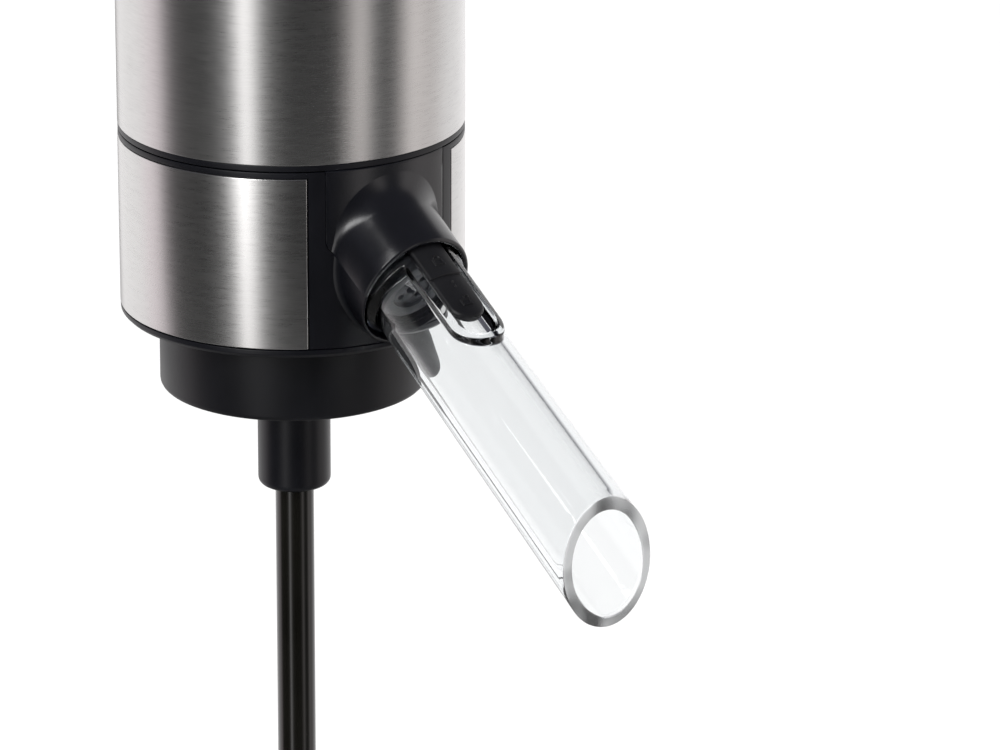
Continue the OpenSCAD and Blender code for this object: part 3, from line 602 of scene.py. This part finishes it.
def nose_loop(degrees, nose_r, fillet, reach, edge=0.16):
    """One closed loop of the nose and the wall round it, at an angle round the spout axis."""
    rim_round, taper, steps = 0.35, 0.18, 13
    outer = nose_r - taper
    middle, half = (outer + NOSE_BORE_R) / 2, (outer - NOSE_BORE_R) / 2
    loop = []
    # Rim: from the bore over the rounded lip
    for a in between(0, pi, steps):
        r = middle - half * cos(a)
        loop.append((r, rim_along(r, degrees) - rim_round * (1 - sin(a))))
    # Nose wall, then the root flare: tangent to the nose, and meeting the body at a crisp line
    corner = wall_along(nose_r, degrees)
    room = max(0.05, reach - nose_r)
    out = min(fillet, room * 0.85)
    up = min(out * 1.3 + 0.5, (rim_along(outer, degrees) - corner) * 0.7)
    first = (nose_r - taper * 0.4, corner + up)
    last = (nose_r + out, wall_along(nose_r + out, degrees))
    wall_r, wall_top = loop[-1]
    for f in (0.25, 0.5, 0.75):
        loop.append((wall_r + (first[0] - wall_r) * f, wall_top + (first[1] - wall_top) * f))
    for f in between(0, 1, steps):
        a, b, c = (1 - f) ** 2, 2 * f * (1 - f), f * f
        loop.append((
            a * first[0] + b * nose_r + c * last[0],
            a * first[1] + b * (corner + 0.34 * up) + c * last[1],
        ))
    # Body wall out to the edge, a small round, and back behind it to the bore
    flat_end = max(nose_r + out + 0.01, reach - edge)
    for r in between(nose_r + out, flat_end, 6)[1:]:
        loop.append((r, wall_along(r, degrees)))
    if edge:
        for k in (1, 2, 3):
            a = pi / 2 * k / 3
            r = flat_end + (reach - flat_end) * sin(a)
            loop.append((r, wall_along(r, degrees, edge * (1 - cos(a)))))
    for r in between(reach, NOSE_BORE_R, 6):
        loop.append((r, wall_along(r, degrees, HOUSING_WALL)))
    return [spout_point(r, along, degrees) for r, along in loop]


def make_front_panel():
    loops = []
    # The panel reaches farthest out at its square upper corners: each gets a loop of its own
    corner = max(between(20.0, 60.0, 801), key=lambda at: reach_out(at, NOSE_R, in_panel))
    corners = [side * (corner + step) for side in (-1, 1) for step in (-0.06, 0.0, 0.06)]
    for degrees in sorted(between(-PART_ANGLE, PART_ANGLE, 161) + corners):
        fillet = 0.35 + 1.9 * max(0.0, (cos(radians(degrees)) - 0.3) / 0.7) ** 1.2
        reach = max(NOSE_R + 0.1, reach_out(degrees, NOSE_R, in_panel))
        loops.append(nose_loop(degrees, NOSE_R, fillet, reach))
    shell = loops_to_mesh(loops, caps=True)
    mesh_piece("front_panel_shell", *shell, "nose", "front_panel", sharp=17)


def front_filler(side):
    """The housing's own surface in the corner outside the panel's rounding."""
    loops = []
    for degrees in between(70.0, PART_ANGLE + 0.4, 24):
        start = max(NOSE_R + 0.02, reach_out(degrees, NOSE_R, in_panel)) + PANEL_GAP
        stop = max(start + 0.02, reach_out(degrees, NOSE_R, in_lower_front))
        rim = [(r, wall_along(r, degrees)) for r in between(start, stop, 4)]
        back = [(r, wall_along(r, degrees, HOUSING_WALL)) for r in between(stop, start, 2)]
        loops.append([spout_point(r, along, side * degrees) for r, along in rim + back])
    return loops_to_mesh(loops, caps=True)


def make_lower_housing():
    loops = []
    seam_degrees = 0.55
    start = PART_ANGLE + seam_degrees
    for degrees in between(start, 360 - start, 181):
        reach = reach_out(degrees, LOWER_NOSE_R, in_lower_front)
        low = blend01((-cos(radians(degrees)) + 0.1) / 0.5)
        loops.append(nose_loop(degrees, LOWER_NOSE_R, 0.35 + 0.4 * low, reach, edge=0))
    parts = [loops_to_mesh(loops, caps=True), front_filler(-1), front_filler(1)]
    # Columns beside the panel, the band on top, the shell behind the wrap, and the floor
    edge = PANEL_HALF_ANGLE + PANEL_SEAM
    stop = WRAP_HALF_ANGLE - 0.45
    column_r, band_r, floor_r, hole_r = 24.6, 24.2, 24.4, 5.8
    band_height, floor_height, behind_wrap = 0.93, 1.8, 0.6
    column = ring_profile(column_r, BLACK_R, PLATE_Z1 + FACE_GAP, HOUSING_Z1, 0.14)
    for side in (-1, 1):
        parts.append(revolved(column, side * edge, side * stop, 16))
    band = ring_profile(band_r, BLACK_R, HOUSING_Z1 - band_height, HOUSING_Z1, 0.18)
    parts.append(revolved(band, stop - 0.2, 360 - stop + 0.2, 192))
    shell = ring_profile(
        HOUSING_BORE_R, BODY_R - behind_wrap, PLATE_Z1 + 0.01, HOUSING_Z1 - 0.5, 0.2
    )
    parts.append(revolved(shell, stop - 1, 360 - stop + 1, 160))
    floor = ring_profile(hole_r, floor_r, PLATE_Z1 + 0.02, PLATE_Z1 + floor_height, 0.2)
    parts.append(revolved(floor, segments=96))
    for r, top, places in (PLATE_BOSSES, CHASSIS_BOSSES):
        boss = revolved(ring_profile(BOSS_HOLE_R, BOSS_R, PLATE_Z1 + 1, top), segments=32)
        parts += [moved(boss, *polar(r, degrees)) for degrees in places]
    mesh_piece("lower_housing_shell", *join_parts(parts), "black", "lower_housing", sharp=17)


# ---- Steel skins and round outer parts ----


def make_steel():
    sleeve = ring_profile(BODY_R - SLEEVE_T, BODY_R, BAND_TOP, SLEEVE_TOP, SHEET_ROUND)
    turned_piece("steel_sleeve_skin", "steel", "steel_sleeve", sleeve, 256)
    # The wrap's upright ends are eased too, over a third of a degree
    end_degrees = 0.32
    plain_start = WRAP_HALF_ANGLE + 0.5
    ends = [(WRAP_HALF_ANGLE + end_degrees * (1 - cos(a)), SHEET_ROUND * (1 - sin(a)))
            for a in between(0, pi / 2, 5)]
    plain = [(d, 0.0) for d in between(plain_start, 360 - plain_start, 220)]
    loops = []
    for degrees, less in ends + plain + [(360 - d, l) for d, l in reversed(ends)]:
        a = radians(degrees)
        profile = ring_profile(BODY_R - WRAP_T, BODY_R - less, WRAP_Z0, WRAP_Z1, SHEET_ROUND)
        loops.append([(r * sin(a), -r * cos(a), z) for r, z in profile])
    mesh_piece("steel_wrap_skin", *loops_to_mesh(loops, caps=True), "steel", "steel_wrap")


def waves(radius, rise, half, heights, count):
    """Soft round waves in a wall, from the top down, as (r, z) points; rise is negative inwards."""
    return [
        (radius + rise * sin(a), z + half * cos(a))
        for z in heights for a in between(0, pi, count)
    ]


def make_round_parts():
    liner_top = TOP_Z - 3.02
    step_r = BODY_R - SLEEVE_T - 0.02
    turned_piece("cover_liner_shell", "black", "cover_liner", rounded(
        [(LINER_BORE_R, LINER_Z0), (BLACK_R, LINER_Z0), (BLACK_R, BAND_TOP - 0.02),
         (step_r, BAND_TOP - 0.02), (step_r, liner_top), (LINER_BORE_R, liner_top)],
        [0.25, 0.14, 0.1, 0.05, 0.1, 0.2],
    ))
    turned_piece("base_plate_rim", "black", "base_plate", rounded(
        [(PLATE_HOLE_R, PLATE_Z0), (BLACK_R - 0.6, PLATE_Z0), (BLACK_R, PLATE_Z0 + 0.6),
         (BLACK_R, PLATE_Z1 - 0.15), (BODY_R - 0.85, PLATE_Z1), (PLATE_HOLE_R, PLATE_Z1)],
        [0.1, 0.25, 0.25, 0.1, 0.05, 0.1],
    ))
    mouth_r, wall_r = 16.8, COLLAR_R - 2
    roof_z, lip_z = GASKET_TOP_Z + 0.06, COLLAR_Z0 + 0.45
    turned_piece("bottle_collar_ring", "collar", "bottle_collar", rounded(
        [(mouth_r, COLLAR_Z0), (COLLAR_R, COLLAR_Z0), (COLLAR_R, COLLAR_Z1),
         (LIP_HOLE_R, COLLAR_Z1), (LIP_HOLE_R, roof_z), (wall_r, roof_z), (wall_r, lip_z),
         (mouth_r, lip_z)],
        [0.15, 0.95, 0.15, 0.2, 0.2, 0.1, 0.1, 0.1],
    ))
    # Gasket: the seat at z = 0, then the grip rings that bear on the bottle's lip ring
    grip_r, gasket_r, gasket_z0 = 16.0, 18.55, -9.2
    gasket = [(LIP_HOLE_R, 0.0), (grip_r - 0.4, 0.0), (grip_r, -0.4)]
    gasket += waves(grip_r, -0.45, 0.45, (-3.0, -5.5, -8.0), 9)
    gasket += [(grip_r, gasket_z0), (gasket_r, gasket_z0)]
    gasket += [(gasket_r, GASKET_TOP_Z), (LIP_HOLE_R, GASKET_TOP_Z)]
    turned_piece("neck_gasket_ring", "silicone", "neck_gasket", gasket, sharp=50)
    # Stopper: three shallow waists between its sealing rings, and a tapered nose
    hole_r, foot_z = STEM_R + 0.02, -9.6
    stopper = [(hole_r, GASKET_TOP_Z), (STOPPER_R, GASKET_TOP_Z)]
    stopper += waves(STOPPER_R, -0.28, 0.35, (-1.95, -4.35, -6.75), 7)
    stopper += [(STOPPER_R, -8.3), (9.0, -8.75), (7.8, foot_z), (hole_r, foot_z)]
    turned_piece("stopper_sleeve_body", "silicone", "stopper_sleeve", stopper, sharp=50)
    flange_r, spigot_r, bore_r, tube_r = 8.0, 3.6, 2.2, 3.0
    flange_z0, flange_z1, spigot_z1, tube_z1 = 5.65, 7.65, 9.6, 3.9
    turned_piece("stopper_stem_body", "black", "stopper_stem", rounded(
        [(tube_r, STEM_Z0), (STEM_R, STEM_Z0), (STEM_R, flange_z0), (flange_r, flange_z0),
         (flange_r, flange_z1), (spigot_r, flange_z1), (spigot_r, spigot_z1), (bore_r, spigot_z1),
         (bore_r, tube_z1), (tube_r, tube_z1)],
        [0.25, 1.6, 0.1, 0.2, 0.2, 0.1, 0.2, 0.2, 0.05, 0.05], 8,
    ), 96)


def make_dip_tube():
    # Bore, outer radius, lower end, upper end and rounding of each tube
    for node, sizes in (
        ("dip_tube_outer", (2.35, 2.99, -150.0, 3.8, 0.18)),
        ("dip_tube_inner", (1.7, 2.3, -158.0, -25.0, 0.15)),
    ):
        turned_piece(node + "_wall", "smoked", node, ring_profile(*sizes), 64)
    # Tip with four notches, so that it never seals on the bottle's floor
    notch_depth, notch_half, notch_ease = 1.9, 16, 5
    bore_r, foot_r, tip_r = 2.32, 3.1, 3.2
    loops = []
    for k in range(96):
        a = 360 * k / 96
        wall = blend01((abs((a + 45) % 90 - 45) - notch_half) / notch_ease)
        low = TIP_Z0 + notch_depth * (1 - wall)
        profile = rounded(
            [(bore_r, low), (foot_r, low), (tip_r, low + 1.2), (tip_r, TIP_Z1), (bore_r, TIP_Z1)],
            [0.1, 0.15, 0.3, 0.45, 0.1], 4,
        )
        loops.append([(*polar(r, a), z) for r, z in profile])
    mesh_piece("dip_tube_tip_foot", *loops_to_mesh(loops, closed_row=True), "tab", "dip_tube_tip")


# ---- Clear spout ----


def stadium(side, along, half_w, start, end):
    """Signed distance, in the tab's plane, to a shape with straight sides and one round end."""
    centre = end - half_w
    if along > centre:
        return hypot(side, along - centre) - half_w
    return max(abs(side) - half_w, start - along)


def spout_outer(along, degrees):
    """Outer radius of the spout, with its cup, its flare and the pocket of the tab."""
    flare = (along - CUP_L1) / (MOUTH_L - CUP_L1)
    tube = TUBE_R + (MOUTH_R - TUBE_R) * max(0.0, flare)
    cup = CUP_R + (tube - CUP_R) * blend01((along - (CUP_L1 - 0.75)) / 1.1)
    radius = cup
    wrapped = (degrees + 180) % 360 - 180
    if abs(wrapped) < 70 and along < POCKET_END_L + POCKET_WALL + 1:
        a = radians(wrapped)
        side = POCKET_R * sin(a)
        outside = stadium(side, along, POCKET_HALF_W + POCKET_WALL, 0, POCKET_END_L + POCKET_WALL)
        inside = stadium(side, along, POCKET_HALF_W, 0, POCKET_END_L)
        if outside < 0.4:
            radius = max(radius, cup + (POCKET_R - cup) * blend01((0.35 - outside) / 0.75))
        if inside < 0.2:
            floor = POCKET_FLOOR / cos(a)
            radius += (floor - radius) * blend01((0.12 - inside) / 0.32)
    return radius


def make_spout():
    # Fine steps round the pocket and along its end, coarse ones elsewhere
    angles = between(-42, 42, 141) + between(42, 318, 93)[1:-1]
    rows = between(CUP_L0, 36.4, 12) + between(36.4, 39.4, 16)[1:] + between(39.4, 49, 26)[1:]
    rows += between(49, 55.6, 44)[1:]
    square_end = rows[-1]
    lip = 0.32
    bore_flare = (MOUTH_BORE_R - BORE_R) / (MOUTH_L - BORE_STRAIGHT_L)

    def end_along(radius, degrees):
        return MOUTH_L - MOUTH_SLOPE * radius * cos(radians(degrees))

    def towards_mouth(end_r, start, share):
        """Distance and angle, a share of the way from a square start to the slanted mouth."""
        return [(start + (end_along(end_r, d) - lip - start) * share, d) for d in angles]

    loops = []
    for along in rows:
        loops.append([spout_point(spout_outer(along, d), along, d) for d in angles])
    for f in between(0, 1, 26)[1:]:
        places = towards_mouth(MOUTH_R, square_end, f)
        loops.append([spout_point(spout_outer(along, d), along, d) for along, d in places])
    quarter = [radians(a) for a in between(0, 90, 6)[1:]]
    rim = [(MOUTH_R - lip * (1 - cos(a)), a) for a in quarter]
    rim += [(MOUTH_BORE_R + lip * (1 - cos(a)), a) for a in reversed(quarter)]
    for r, a in rim:
        loops.append([spout_point(r, end_along(r, d) - lip * (1 - sin(a)), d) for d in angles])
    for f in between(1, 0, 14):
        places = towards_mouth(MOUTH_BORE_R, BORE_STRAIGHT_L, f)
        flared = [(BORE_R + bore_flare * max(0, l - BORE_STRAIGHT_L), l, d) for l, d in places]
        loops.append([spout_point(*at) for at in flared])
    loops.append([spout_point(BORE_R, CUP_L0 + 0.3, d) for d in angles])
    loops.append([spout_point(BORE_R + 0.3, CUP_L0, d) for d in angles])
    points, faces = loops_to_mesh(loops, closed_row=True)
    made = mesh_piece("spout_clear", points, faces, "clear", "spout", sharp=60)
    # The cut face of the mouth is left slightly frosted
    made.data.materials.append(MATERIALS["frosted"])
    for face in made.data.polygons:
        x, y, z = (c / MM for c in face.center)
        along = -y * COS_T - (z - SPOUT_Z) * SIN_T
        up = -y * SIN_T + (z - SPOUT_Z) * COS_T
        across = hypot(x, up)
        rim_gap = MOUTH_L - MOUTH_SLOPE * up - along
        if rim_gap < lip * 0.8 and across > MOUTH_BORE_R:
            face.material_index = 1


# ---- Lock tab ----


def tab_mark(side, along):
    """Height of the raised marks: closed padlock on the upper half, dots and open padlock below."""
    def stroke(distance, width=0.15, ease=0.09):
        return blend01((width - abs(distance)) / ease)

    def box(x, y, w, h):
        return max(abs(x) - w, abs(y) - h)

    marks = []
    # A padlock at each end: its place along the spout, and how far its bow has swung aside
    for centre, opened in ((38.4, 0.0), (46.6, 0.45)):
        x, y = side, along - centre
        marks.append(stroke(box(x, y - 0.55, 0.75, 0.5)))
        bow = hypot(x - opened, y + 0.15) - 0.5
        if y < -0.1:
            marks.append(stroke(bow))
    for centre in (43.0, 43.9):
        marks.append(blend01((0.22 - hypot(side, along - centre)) / 0.1))
    return max(marks)


def make_lock_tab():
    top = POCKET_R - 0.1
    base = POCKET_FLOOR + 0.1
    alongs = between(TAB_L0, TAB_L1, 260)
    count = 91
    edge = 0.45
    loops = []
    for along in alongs:
        centre = TAB_L1 - TAB_HALF_W
        half = TAB_HALF_W
        if along > centre:
            half = sqrt(max(0.0004, TAB_HALF_W ** 2 - (along - centre) ** 2))
        row = []
        for k in range(count):
            side = -half + 2 * half * k / (count - 1)
            inside = -stadium(side, along, TAB_HALF_W, TAB_L0, TAB_L1)
            height = sqrt(top * top - side * side)
            over = max(0.0, edge - inside)
            height -= edge - sqrt(max(0.0, edge * edge - over * over))
            height -= 0.34 * blend01((0.34 - abs(along - TAB_GROOVE_L)) / 0.22)
            height -= 0.10 * blend01((along - TAB_GROOVE_L) / 0.5)
            height += MARK_RISE * tab_mark(side, along)
            row.append((side, height))
        loop = row + [(half, base), (-half, base)]
        loops.append([
            spout_point(hypot(s, h), along, math.degrees(math.atan2(s, h))) for s, h in loop
        ])
    points, faces = loops_to_mesh(loops, caps=True)
    mesh_piece("lock_tab_body", points, faces, "tab", "lock_tab", sharp=50)


# ---- Top cap and button ----


def make_top():
    z = TOP_Z
    hole_r, plug_r, guide_r = 9.05, BODY_R - 0.55, 11.0
    turned_piece("top_cap_shell", "gloss", "top_cap", rounded(
        [(hole_r, z - 3.0), (hole_r, z - 0.1), (9.6, z), (BODY_R, z), (BODY_R, z - 1.38),
         (plug_r, z - 1.4), (plug_r, z - 2.98), (12.5, z - 2.98), (12.5, z - 6.5),
         (guide_r, z - 6.5), (guide_r, z - 3.0)],
        [0.1, 0.3, 0.3, 0.85, 0.1, 0.05, 0.2, 0.1, 0.2, 0.2, 0.1],
    ))
    foot, button_top = cad_mm("power_button")[:2]
    flange, recess = z - 4.1, z - 0.08
    foot_r, flange_r, button_r = 2.7, 10.6, 8.9
    turned_piece("power_button_body", "black", "power_button", rounded(
        [(0.0, foot), (foot_r, foot), (foot_r, flange), (flange_r, flange), (flange_r, z - 3.1),
         (button_r, z - 3.1), (button_r, button_top), (7.62, button_top), (7.6, recess),
         (0.0, recess)],
        [0, 0.3, 0.1, 0.15, 0.15, 0.1, 0.45, 0.15, 0.05, 0],
    ), 128)
    disc_r, disc_foot, disc_top = 7.56, z - 0.07, cad_mm("button_disc")[1]
    turned_piece("button_disc_plate", "steel", "button_disc", rounded(
        [(0.0, disc_foot), (disc_r, disc_foot), (disc_r, disc_top - 0.1), (0.0, disc_top - 0.22)],
        [0, 0.05, 0.15, 0],
    ), 128)


# ---- Inner parts ----

CELLS = 6
CELL_RING_R = 18.6
CELL_R = 5.2
CELL_Z0, CELL_Z1 = 65.6, 109.3
CELL_MIDDLE_Z = 87.3
NUB_R, NUB_TOP_Z = 1.9, 110.1
BAND_Z0 = 96.9              # lower edge of the copper-coloured band
BUTTON_SPRING_Z0 = 117.4


def at_cells(part):
    """One copy of a part for each cell; every second one is turned upside down."""
    points, faces = part
    turned_over = [(x, y, 2 * CELL_MIDDLE_Z - z) for x, y, z in points]
    copies = []
    for i in range(CELLS):
        chosen = turned_over if i % 2 else points
        copies.append(moved((chosen, faces), *polar(CELL_RING_R, 360 / CELLS * i)))
    return join_parts(copies)


def make_cells():
    def solid(name, material, outline, radius):
        part = revolved(rounded(outline, radius), segments=64)
        mesh_piece(name, *at_cells(part), material, "battery_cells")

    solid(
        "battery_cells_sleeve", "cell_dark",
        [(0, CELL_Z0 + 0.2), (CELL_R, CELL_Z0 + 0.2), (CELL_R, BAND_Z0), (0, BAND_Z0)],
        [0, 0.5, 0.02, 0],
    )
    solid(
        "battery_cells_band", "cell",
        [(0, BAND_Z0), (CELL_R, BAND_Z0), (CELL_R, CELL_Z1 - 0.2), (0, CELL_Z1 - 0.2)],
        [0, 0.02, 0.6, 0],
    )
    solid(
        "battery_cells_top", "contact",
        [(0, CELL_Z1 - 0.3), (3.6, CELL_Z1 - 0.3), (3.3, CELL_Z1), (NUB_R, CELL_Z1),
         (NUB_R, NUB_TOP_Z), (0, NUB_TOP_Z)],
        [0, 0.1, 0.1, 0.15, 0.35, 0],
    )
    solid(
        "battery_cells_foot", "contact",
        [(0, CELL_Z0), (4.1, CELL_Z0), (4.3, CELL_Z0 + 0.3), (0, CELL_Z0 + 0.3)],
        [0, 0.15, 0.1, 0],
    )


def coil(radius_at, z0, z1, turns, wire, steps=40, sides=10):
    """A wire coil up the body axis, its end half turns laid flat; radius_at takes 0 to 1."""
    count = int(turns * steps)
    loops = []
    for k in range(count + 1):
        f = k / count
        turned = turns * f
        lift = max(0.0, min(1.0, (turned - 0.5) / (turns - 1)))
        a = tau * turned
        radius = radius_at(f)
        z = z0 + wire + (z1 - z0 - 2 * wire) * lift
        loop = []
        for i in range(sides):
            b = tau * i / sides
            r = radius + wire * cos(b)
            loop.append((r * cos(a), r * sin(a), z + wire * sin(b)))
        loops.append(loop)
    return loops_to_mesh(loops, caps=True)


def make_springs():
    foot_r, taper, foot_z = 3.1, 1.2, 64.03
    cone = coil(lambda f: foot_r - taper * f, foot_z, CELL_Z0 - 0.01, 3.5, 0.2)
    mesh_piece("contact_springs_coils", *at_cells(cone), "contact", "contact_springs", sharp=80)
    top = cad_mm("button_spring")[1]
    spring = coil(lambda f: 8.1, BUTTON_SPRING_Z0, top, 3.5, 0.26, steps=72)
    made = mesh_piece("button_spring_coil", *spring, "contact", "button_spring", sharp=80)
    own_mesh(made)


def block(width, depth, height, edge=0.12):
    """A chip or connector: a block with rounded upright corners and a chamfered top."""
    x, y = width / 2, depth / 2
    outline = rounded([(-x, -y), (x, -y), (x, y), (-x, y)], edge * 1.5, 3)
    loops = []
    levels = ((0, 0), (0, height - edge), (edge * 0.35, height - edge * 0.3), (edge, height))
    for shrink, z in levels:
        fx, fy = 1 - 2 * shrink / width, 1 - 2 * shrink / depth
        loops.append([(x * fx, y * fy, z) for x, y in outline])
    return loops_to_mesh(loops, caps=True)


def make_board_parts():
    """Chips, resistors, capacitor and plug on the board, clear of its posts and the cover."""
    top = cad_mm("circuit_board")[1]
    dark_parts, metal_parts = [], []

    def place(part, radius, degrees, turn_z=0.0, into=dark_parts):
        into.append(moved(part, *polar(radius, degrees), top, turn_z))

    chip_r, legs, leg_pitch, leg_reach = 8.8, 4, 1.2, 2.6
    place(block(5.0, 4.4, 0.75, 0.1), chip_r, 90)
    leg = block(0.45, 1.0, 0.16, 0.04)
    for i in range(legs):
        for side in (-1, 1):
            across = (i - (legs - 1) / 2) * leg_pitch
            metal_parts.append(moved(leg, across, chip_r + side * leg_reach, top))
    resistor_r, pad_reach = 9.0, 0.8
    pad = block(0.35, 0.9, 0.52, 0.05)
    for degrees in (195, 207, 219, 231, 243):
        place(block(1.6, 0.85, 0.5, 0.08), resistor_r, degrees, degrees)
        for end in (-1, 1):
            place(pad, resistor_r + end * pad_reach, degrees, degrees, metal_parts)
    plug_r = 16.2
    place(block(6.2, 4.0, 3.2, 0.25), plug_r, 210, 30)
    can_r = 1.9
    can = rounded(
        [(0, 0.4), (can_r, 0.4), (can_r, 1.0), (can_r - 0.15, 1.15), (can_r, 1.3),
         (can_r, 3.6), (0, 3.6)],
        [0, 0.1, 0.1, 0.1, 0.1, 0.25, 0],
    )
    place(revolved(can, segments=48), plug_r, 90, into=metal_parts)
    place(block(4.3, 4.3, 0.45, 0.2), plug_r, 90)
    joint = rounded([(0, 0), (1.3, 0), (0.5, 0.7), (0, 0.75)], [0, 0.1, 0.3, 0])
    for x in (-5, 5):
        metal_parts.append(moved(revolved(joint, segments=32), x, 0, top))
    for name, parts, material in (
        ("circuit_board_chips", dark_parts, "cell_dark"),
        ("circuit_board_metal", metal_parts, "contact"),
    ):
        mesh_piece(name, *join_parts(parts), material, "circuit_board", replaces=False)


# ---- Carried-over CAD nodes ----


def finish_cad_nodes():
    """The CAD nodes that stay visible get their finish, welded vertices and eased edges."""
    for name, node in frame["nodes"].items():
        if node.hide_render:
            continue
        node.data.materials.clear()
        node.data.materials.append(MATERIALS[SLOT_MATERIAL[SLOT_OF[name]]])
        weld = node.modifiers.new("weld", "WELD")
        weld.merge_threshold = 1e-6
        bevel = node.modifiers.new("bevel", "BEVEL")
        bevel.width = 0.12 * MM
        bevel.segments = 2
        bevel.limit_method = "ANGLE"
        bevel.angle_limit = radians(40)
        bevel.harden_normals = False
        node.data.shade_smooth()
        node.data.set_sharp_from_angle(angle=radians(35))


# ---- Stage and light ----


def make_stage():
    size = 900.0
    # The bottle holds the object, so the floor lies under the dip tube at its longest
    z = TIP_Z0 - TUBE_TRAVEL - 0.3
    data = bpy.data.meshes.new("floor")
    corners = [(-size, -size, z), (size, -size, z), (size, size, z), (-size, size, z)]
    data.from_pydata([[c * MM for c in p] for p in corners], [], [[0, 1, 2, 3]])
    floor = in_scene("floor", data)
    n = Nodes(bpy.data.materials.new("pale_floor"))
    cloud = n.noise((0.002, 0.002, 0.002), 2, 0.5)
    n.set(Roughness=0.9)
    n.to_shader(Base_Color=n.ramp(cloud, [(0.3, (0.93, 0.93, 0.93)), (0.7, (0.95, 0.95, 0.95))]))
    data.materials.append(n.owner)
    floor.visible_glossy = False


LIGHT_DISTANCE = 1100
LIGHT_AIM_Z = 30.0


def area_light(name, degrees, elevation, size, power):
    """A softbox. degrees counts from the camera's side, positive to the camera's right."""
    a = radians(CAMERA_AZIMUTH - degrees)
    e = radians(elevation)
    place = Vector((
        -LIGHT_DISTANCE * cos(e) * sin(a),
        -LIGHT_DISTANCE * cos(e) * cos(a),
        LIGHT_AIM_Z + LIGHT_DISTANCE * sin(e),
    ))
    data = bpy.data.lights.new(name, "AREA")
    data.shape = "RECTANGLE"
    data.size = size[0] * MM
    data.size_y = size[1] * MM
    data.energy = power
    aim = (Vector((0, 0, LIGHT_AIM_Z)) - place).to_track_quat("-Z", "Y")
    light = in_scene(name, data)
    light.matrix_world = Matrix.Translation(place * MM) @ aim.to_matrix().to_4x4()


# The studio wall as the steel sees it: degrees from the camera's side, brightness and tint
PLAIN, ROSY, WARM = (1, 0.985, 0.99), (1.02, 0.93, 0.965), (1.02, 0.965, 0.955)
WALL = [
    (-180, 0.2, PLAIN), (-168, 0.35, PLAIN), (-158, 1.05, PLAIN), (-122, 1.05, PLAIN),
    (-108, 0.98, ROSY), (-98, 0.8, ROSY), (-92, 0.25, ROSY), (-84, 0.07, PLAIN),
    (-58, 0.035, PLAIN), (-43, 0.1, PLAIN), (-37, 0.6, PLAIN), (-32, 2.0, PLAIN),
    (-27, 1.3, PLAIN), (-20, 0.3, PLAIN), (-13, 0.09, PLAIN), (0, 0.03, PLAIN),
    (29, 0.05, PLAIN), (39, 0.3, WARM), (44, 0.78, WARM),
    (50, 0.78, WARM), (57, 0.22, PLAIN), (64, 0.10, PLAIN), (73, 0.12, PLAIN), (81, 0.5, WARM),
    (88, 0.9, WARM), (105, 0.68, WARM), (130, 0.95, PLAIN), (172, 1.15, PLAIN), (180, 0.6, PLAIN),
]
CEILING = (0.12, 0.12, 0.14)
GROUND = (0.22, 0.22, 0.22)
TENT = (1.04, 1.04, 1.04)
TENT_ROOF = (0.1, 0.1, 0.12)
SWEEP = (1.12, 1.12, 1.12)


def make_light():
    """A white sweep behind the object, dark towards the camera, and two softboxes."""
    world = bpy.data.worlds.new("studio")
    bpy.context.scene.world = world
    n = Nodes(world)
    n.tree.nodes.clear()
    coordinates = n.add("ShaderNodeTexCoord")
    turned = n.add("ShaderNodeVectorRotate", rotation_type="Z_AXIS")
    turned.inputs["Angle"].default_value = radians(CAMERA_AZIMUTH)
    n.link(coordinates.outputs["Generated"], turned.inputs["Vector"])
    split = n.add("ShaderNodeSeparateXYZ")
    n.link(turned.outputs[0], split.inputs[0])

    def fade(colour, start, end, other):
        """From colour to other as the direction's own height, -1 to 1, goes from start to end."""
        height = n.grey(split.outputs["Z"], 0.0, 1.0, start, end, "SMOOTHSTEP")
        return n.mix(height, colour, other)

    # Azimuth from the camera's side: 0.5 is the camera, 0 and 1 are straight behind the object
    azimuth = n.math("ARCTAN2", split.outputs["X"], n.math("MULTIPLY", split.outputs["Y"], -1))
    share = n.math("ADD", n.math("MULTIPLY", azimuth, 1 / tau), 0.5)
    stops = [((d + 180) / 360, [level * c for c in tint]) for d, level, tint in WALL]
    walls = n.ramp(share, stops, "EASE")
    walls = fade(walls, 0.36, 0.56, CEILING)
    walls = fade(walls, -0.5, -0.8, GROUND)
    # Light that has come through clear plastic meets a pale tent with a dark roof
    path = n.add("ShaderNodeLightPath")
    white = n.add("ShaderNodeRGB")
    white.outputs[0].default_value = (*TENT, 1)
    through = n.math("GREATER_THAN", path.outputs["Transmission Depth"], 0.5)
    lifted = n.mix(through, walls, fade(white.outputs[0], 0.1, 0.4, TENT_ROOF))
    # The camera sees the white sweep itself, and matt surfaces are lit evenly by the whole tent
    seen = n.math("MAXIMUM", path.outputs["Is Camera Ray"], path.outputs["Is Diffuse Ray"])
    background = n.add("ShaderNodeBackground")
    n.link(n.mix(seen, lifted, SWEEP), background.inputs["Color"])
    output = n.add("ShaderNodeOutputWorld")
    n.link(background.outputs[0], output.inputs["Surface"])
    area_light("key", -33, 26, (300, 620), 3.6)
    area_light("key_top", -36, 50, (260, 420), 1.3)


bpy.context.scene.view_settings.view_transform = "Standard"
make_camera()
make_front_panel()
make_lower_housing()
make_steel()
make_round_parts()
make_dip_tube()
make_spout()
make_lock_tab()
make_top()
make_cells()
make_springs()
make_board_parts()
finish_cad_nodes()
make_stage()
make_light()
